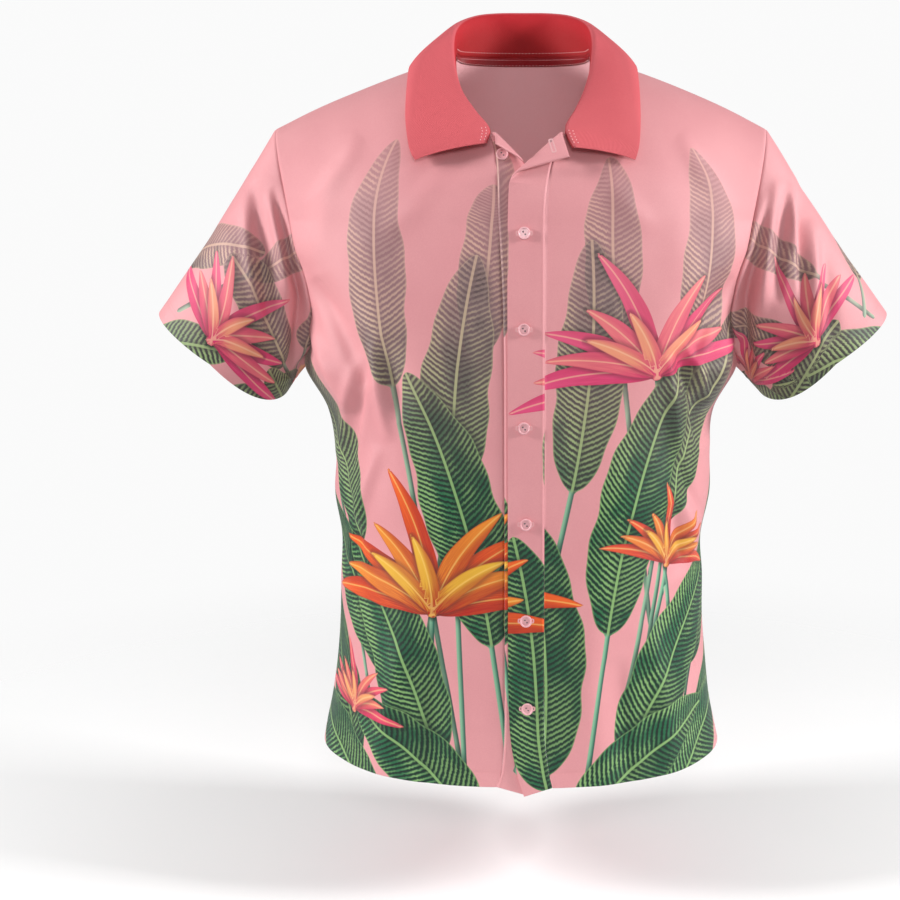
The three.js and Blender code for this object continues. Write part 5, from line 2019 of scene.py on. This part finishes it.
@dataclass
class Stitching:
    """Rows of small stitches, each a rounded grain that dips into the cloth at its ends."""

    material: bpy.types.Material
    pitch: float = 3.0
    length: float = 2.2
    radius: float = 0.3
    lift: float = 0.06
    sides: int = 5

    def grains(self, row: np.ndarray) -> tuple[np.ndarray, ...]:
        """Places for the stitches of one row.

        Args:
            row: The row's points, outward directions and places on the cloth.

        Returns:
            The middles, the directions along the row, the outward directions, and the places on the cloth.
        """
        run = run_along(row[:, :3], 0)
        count = max(int(run[-1] / self.pitch), 1)
        spots = (np.arange(count) + 0.5) * run[-1] / count
        here, before, after = (np.stack([np.interp(spots + step, run, row[:, k]) for k in range(8)], axis=1)
                               for step in (0, -0.5, 0.5))
        outward = unit(here[:, 3:6])
        along = after[:, :3] - before[:, :3]
        along = unit(along - outward * (along * outward).sum(axis=1, keepdims=True))
        return here[:, :3], along, outward, here[:, 6:]

    def build(self, name: str, slot: str, rows: Sequence[np.ndarray],
              pattern: Print | None = None) -> bpy.types.Object:
        """Joins rows of stitches in one mesh.

        Args:
            name: The piece's name.
            slot: The record's slot; not used.
            rows: Each row's points, outward directions and places on the cloth.
            pattern: The print that the stitches take part in, if any.

        Returns:
            The new object.
        """
        found = [self.grains(row) for row in rows]
        middle, along, outward, flat = (np.concatenate([part[k] for part in found]) for k in range(4))
        beside = np.cross(outward, along)
        turns = np.arange(self.sides) * 2 * math.pi / self.sides
        points = [middle - along * self.length / 2 - outward * self.radius]
        for share, swell, rise in ((-0.36, 0.8, -0.1), (0, 1.0, self.lift), (0.36, 0.8, -0.1)):
            centre = middle + along * self.length * share + outward * rise
            for turn in turns:
                ring = beside * math.cos(turn) + outward * 0.8 * math.sin(turn)
                points.append(centre + ring * self.radius * swell)
        points.append(middle + along * self.length / 2 - outward * self.radius)
        each = len(points)
        top, last = 1 + 2 * self.sides, each - 1
        faces = []
        for k in range(self.sides):
            after = (k + 1) % self.sides
            faces.append((0, 1 + after, 1 + k))
            for low in (1, 1 + self.sides):
                high = low + self.sides
                faces.append((low + k, low + after, high + after, high + k))
            faces.append((top + k, top + after, last))
        stacked = np.stack(points, axis=1).reshape(-1, 3) * METRE
        starts = range(0, len(middle) * each, each)
        joined = [tuple(corner + start for corner in corners) for start in starts for corners in faces]
        mesh = bpy.data.meshes.new(name)
        mesh.from_pydata(stacked.tolist(), [], joined)
        mesh.materials.append(self.material)
        flat = np.repeat(flat, each, axis=0)
        add_cloth_map(mesh, flat)
        if pattern is not None:
            add_fields(mesh, pattern.fields(flat[:, :1], flat[:, 1:]))
        mesh.shade_smooth()
        return add_piece(linked(name, mesh), slot)


# How far each row of stitches lies from its piece's edge, in millimetres.
HEM_INSETS = (13.4, 17.0)
CUFF_INSETS = (15.0, 18.4)
BAND_INSET = 1.9
COLLAR_INSETS = (0.4, 4.2)
TAPE_INSET = 1.3
STAND_INSET = 4.4
COLLAR_END_RUN = 26  # how far the collar's rows run from its ends
STAND_SHARE = 0.24  # of the collar's length, from its middle each way, that the row at its foot covers


def sew(body: Body, sleeves: Sequence[Sleeve], bands: Sequence[Band], collar: Collar, tape: NeckTape,
        printed: bpy.types.Material, pale: bpy.types.Material) -> None:
    """Stitches the hems, cuffs, bands, collar and tape.

    Args:
        body: The fronts and back.
        sleeves: Both sleeves.
        bands: Both front bands.
        collar: The collar.
        tape: The neck tape.
        printed: The printed cloth's finish, which its thread was printed with.
        pale: Paler thread.
    """
    quiet, light = Stitching(printed), Stitching(pale, pitch=3.4, length=1.9, radius=0.42, lift=0.2)
    for name, grid in body.panels.items():
        rows = [line_at(grid, up, 0, flat=body.flat(name)) for up in HEM_INSETS]
        pattern = BACK_PRINT if name == "back" else FRONT_PRINT
        quiet.build("stitches_hem_" + name, "shirt_cloth", rows, pattern)
    for sleeve in sleeves:
        across, up, _ = sleeve.flat()
        rows = [line_at(sleeve.grid, inset, 0, True, True, (across, up)) for inset in CUFF_INSETS]
        quiet.build("stitches_cuff_" + sleeve.side.word, "shirt_cloth", rows, SLEEVE_PRINT)
    for band in bands:
        row = line_at(band.grid, BAND_INSET, 1, far=band.side is Side.LEFT, flat=band.flat())[2:-2]
        quiet.build("stitches_band_" + band.side.word, "band_cloth", [row], FRONT_PRINT)
    leaf = collar.grid[collar.stand_rows:]
    rows = []
    for inset in COLLAR_INSETS:
        row = line_at(leaf, inset, 0)
        run = run_along(row[:, :3], 0)
        rows += [row[run < COLLAR_END_RUN][2:], row[run > run[-1] - COLLAR_END_RUN][:-2]]
    light.build("stitches_collar_ends", "collar_cloth", rows)
    light.build("stitches_neck_tape", "tape_cloth", [line_at(tape.grid, TAPE_INSET, 0, far=True)])
    foot = line_at(collar.grid[:collar.stand_rows], STAND_INSET, 0)
    middle, spread = len(foot) // 2, int(STAND_SHARE * len(foot))
    light.build("stitches_stand_foot", "collar_cloth", [foot[middle - spread: middle + spread]])


@dataclass(frozen=True)
class Lamp:
    """A square soft light: its name, where it stands in metres, and its power in watts."""

    name: str
    place: tuple[float, float, float]
    power: float


@dataclass
class Studio:
    """The pale floor, the soft lights, and the camera that sees the shirt as the photograph does."""

    eye: tuple[float, float, float] = (0.0, -1.575, -0.089)
    pitch: float = 11.17
    lens: float = 63.0
    shift: float = -0.0811
    floor: float = -0.84
    daylight: float = 0.28
    backdrop: float = 0.96
    floor_clear: tuple[float, float] = (0.35, 1.2)
    lamps: tuple[Lamp, ...] = (
        Lamp("front", (0.1, -2.3, 0.5), 12),
        Lamp("right_side", (2.3, -0.55, 0.6), 62),
        Lamp("left_side", (-2.3, -0.55, 0.6), 57),
    )
    lamp_size: float = 0.5
    aim: tuple[float, float, float] = (0.0, 0.0, -0.32)

    def camera(self) -> None:
        """Sets the camera."""
        data = bpy.data.cameras.new("camera")
        data.lens, data.sensor_width, data.shift_x = self.lens, 36.0, self.shift
        data.clip_end = 100.0
        camera = bpy.data.objects.new("camera", data)
        camera.location = self.eye
        camera.rotation_euler = (math.radians(90 - self.pitch), 0, 0)
        bpy.context.scene.collection.objects.link(camera)
        bpy.context.scene.camera = camera

    def light(self, lamp: Lamp) -> None:
        """Adds a lamp that faces the aim."""
        data = bpy.data.lights.new(lamp.name, "AREA")
        data.size, data.energy = self.lamp_size, lamp.power
        made = bpy.data.objects.new(lamp.name, data)
        made.location = lamp.place
        made.rotation_euler = (Vector(self.aim) - Vector(lamp.place)).to_track_quat("-Z", "Y").to_euler()
        bpy.context.scene.collection.objects.link(made)

    def build(self) -> None:
        """Makes the stage."""
        bpy.ops.object.select_all(action="DESELECT")
        bpy.ops.mesh.primitive_circle_add(
            vertices=96, radius=2, fill_type="NGON", location=(0, 0, self.floor))
        floor = bpy.context.object
        floor.name = "floor"
        bpy.ops.object.transform_apply(location=True)
        graph = Graph("pale_floor")
        cloud = graph.noise(graph.place(), 3.0, 2.0)
        colour = graph.mix(cloud, (0.9, 0.9, 0.9, 1), (0.94, 0.94, 0.94, 1))
        away = graph.node("ShaderNodeVectorMath", operation="LENGTH")
        x, y, _ = graph.split(graph.place())
        graph.plug(away.inputs[0], graph.join(x, y, 0.0))
        material = graph.surface(colour, 0.9, None, {"Specular IOR Level": 0.1})
        shader = next(node for node in graph.tree.nodes if node.type == "BSDF_PRINCIPLED")
        graph.plug(shader.inputs["Alpha"], graph.step(away.outputs["Value"], *reversed(self.floor_clear)))
        floor.data.materials.append(material)
        self.world()
        bpy.context.scene.view_settings.view_transform = "Standard"
        for lamp in self.lamps:
            self.light(lamp)
        self.camera()

    def world(self) -> None:
        """Sets the even light all round, with a pale backdrop where nothing stands."""
        world = bpy.data.worlds.new("studio")
        world.use_nodes = True
        nodes, links = world.node_tree.nodes, world.node_tree.links
        seen = nodes.new("ShaderNodeLightPath")
        level = nodes.new("ShaderNodeMath")
        level.operation = "MULTIPLY_ADD"
        level.inputs[1].default_value = self.backdrop - self.daylight
        level.inputs[2].default_value = self.daylight
        links.new(seen.outputs["Is Camera Ray"], level.inputs[0])
        nodes["Background"].inputs[0].default_value = (1, 1, 1, 1)
        links.new(level.outputs[0], nodes["Background"].inputs[1])
        bpy.context.scene.world = world


def main() -> None:
    """Builds the shirt in order."""
    logging.basicConfig(level=logging.INFO, format="%(message)s")
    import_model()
    printed = PrintedFinish("printed_cloth", (228, 155, 159), (221, 146, 151)).material()
    # The inside is the cloth's paler reverse, made paler still as painted light on the inside, which the
    # lamps reach little.
    inside = ClothFinish("cloth_inside", (254, 198, 202), (250, 190, 194), sheen=0.1).material()
    coral = CollarFinish("collar_cloth", (214, 92, 99), (206, 84, 92), Knit.BIAS, 0.7, 0.04).material()
    twill = ClothFinish("tape_cloth", (160, 22, 32), (146, 16, 26), Knit.TWILL, sheen=0.05).material()
    pale = ThreadFinish("thread_pale", (240, 178, 180)).material()
    cord = ThreadFinish("thread_cord", (222, 154, 158)).material()
    # Dark: painted shade in the buttonholes' slits.
    slit = ThreadFinish("thread_slit", (150, 78, 84)).material()
    # The thread in the buttons' holes, nearly black as painted shade down the holes.
    hole_thread_and_shade = ThreadFinish("thread_knot", (30, 12, 14)).material()
    resin = ResinFinish("button_resin", (238, 182, 187), (226, 164, 170)).material()
    body = Body()
    sleeves = [Sleeve(side, body) for side in Side]
    bands = [Band(side, body) for side in Side]
    collar, tape = Collar(), NeckTape()
    body.build([printed, inside])
    for sleeve, band in zip(sleeves, bands):
        sleeve.build([printed, inside])
        band.build([printed, printed])
    collar.build([coral, coral])
    tape.build(twill)
    centres = Buttons().build([resin, hole_thread_and_shade])
    Buttonholes().build(bands[0], centres[1:], [cord, slit])
    sew(body, sleeves, bands, collar, tape, printed, pale)
    Studio().build()


if __name__ == "__main__":
    main()
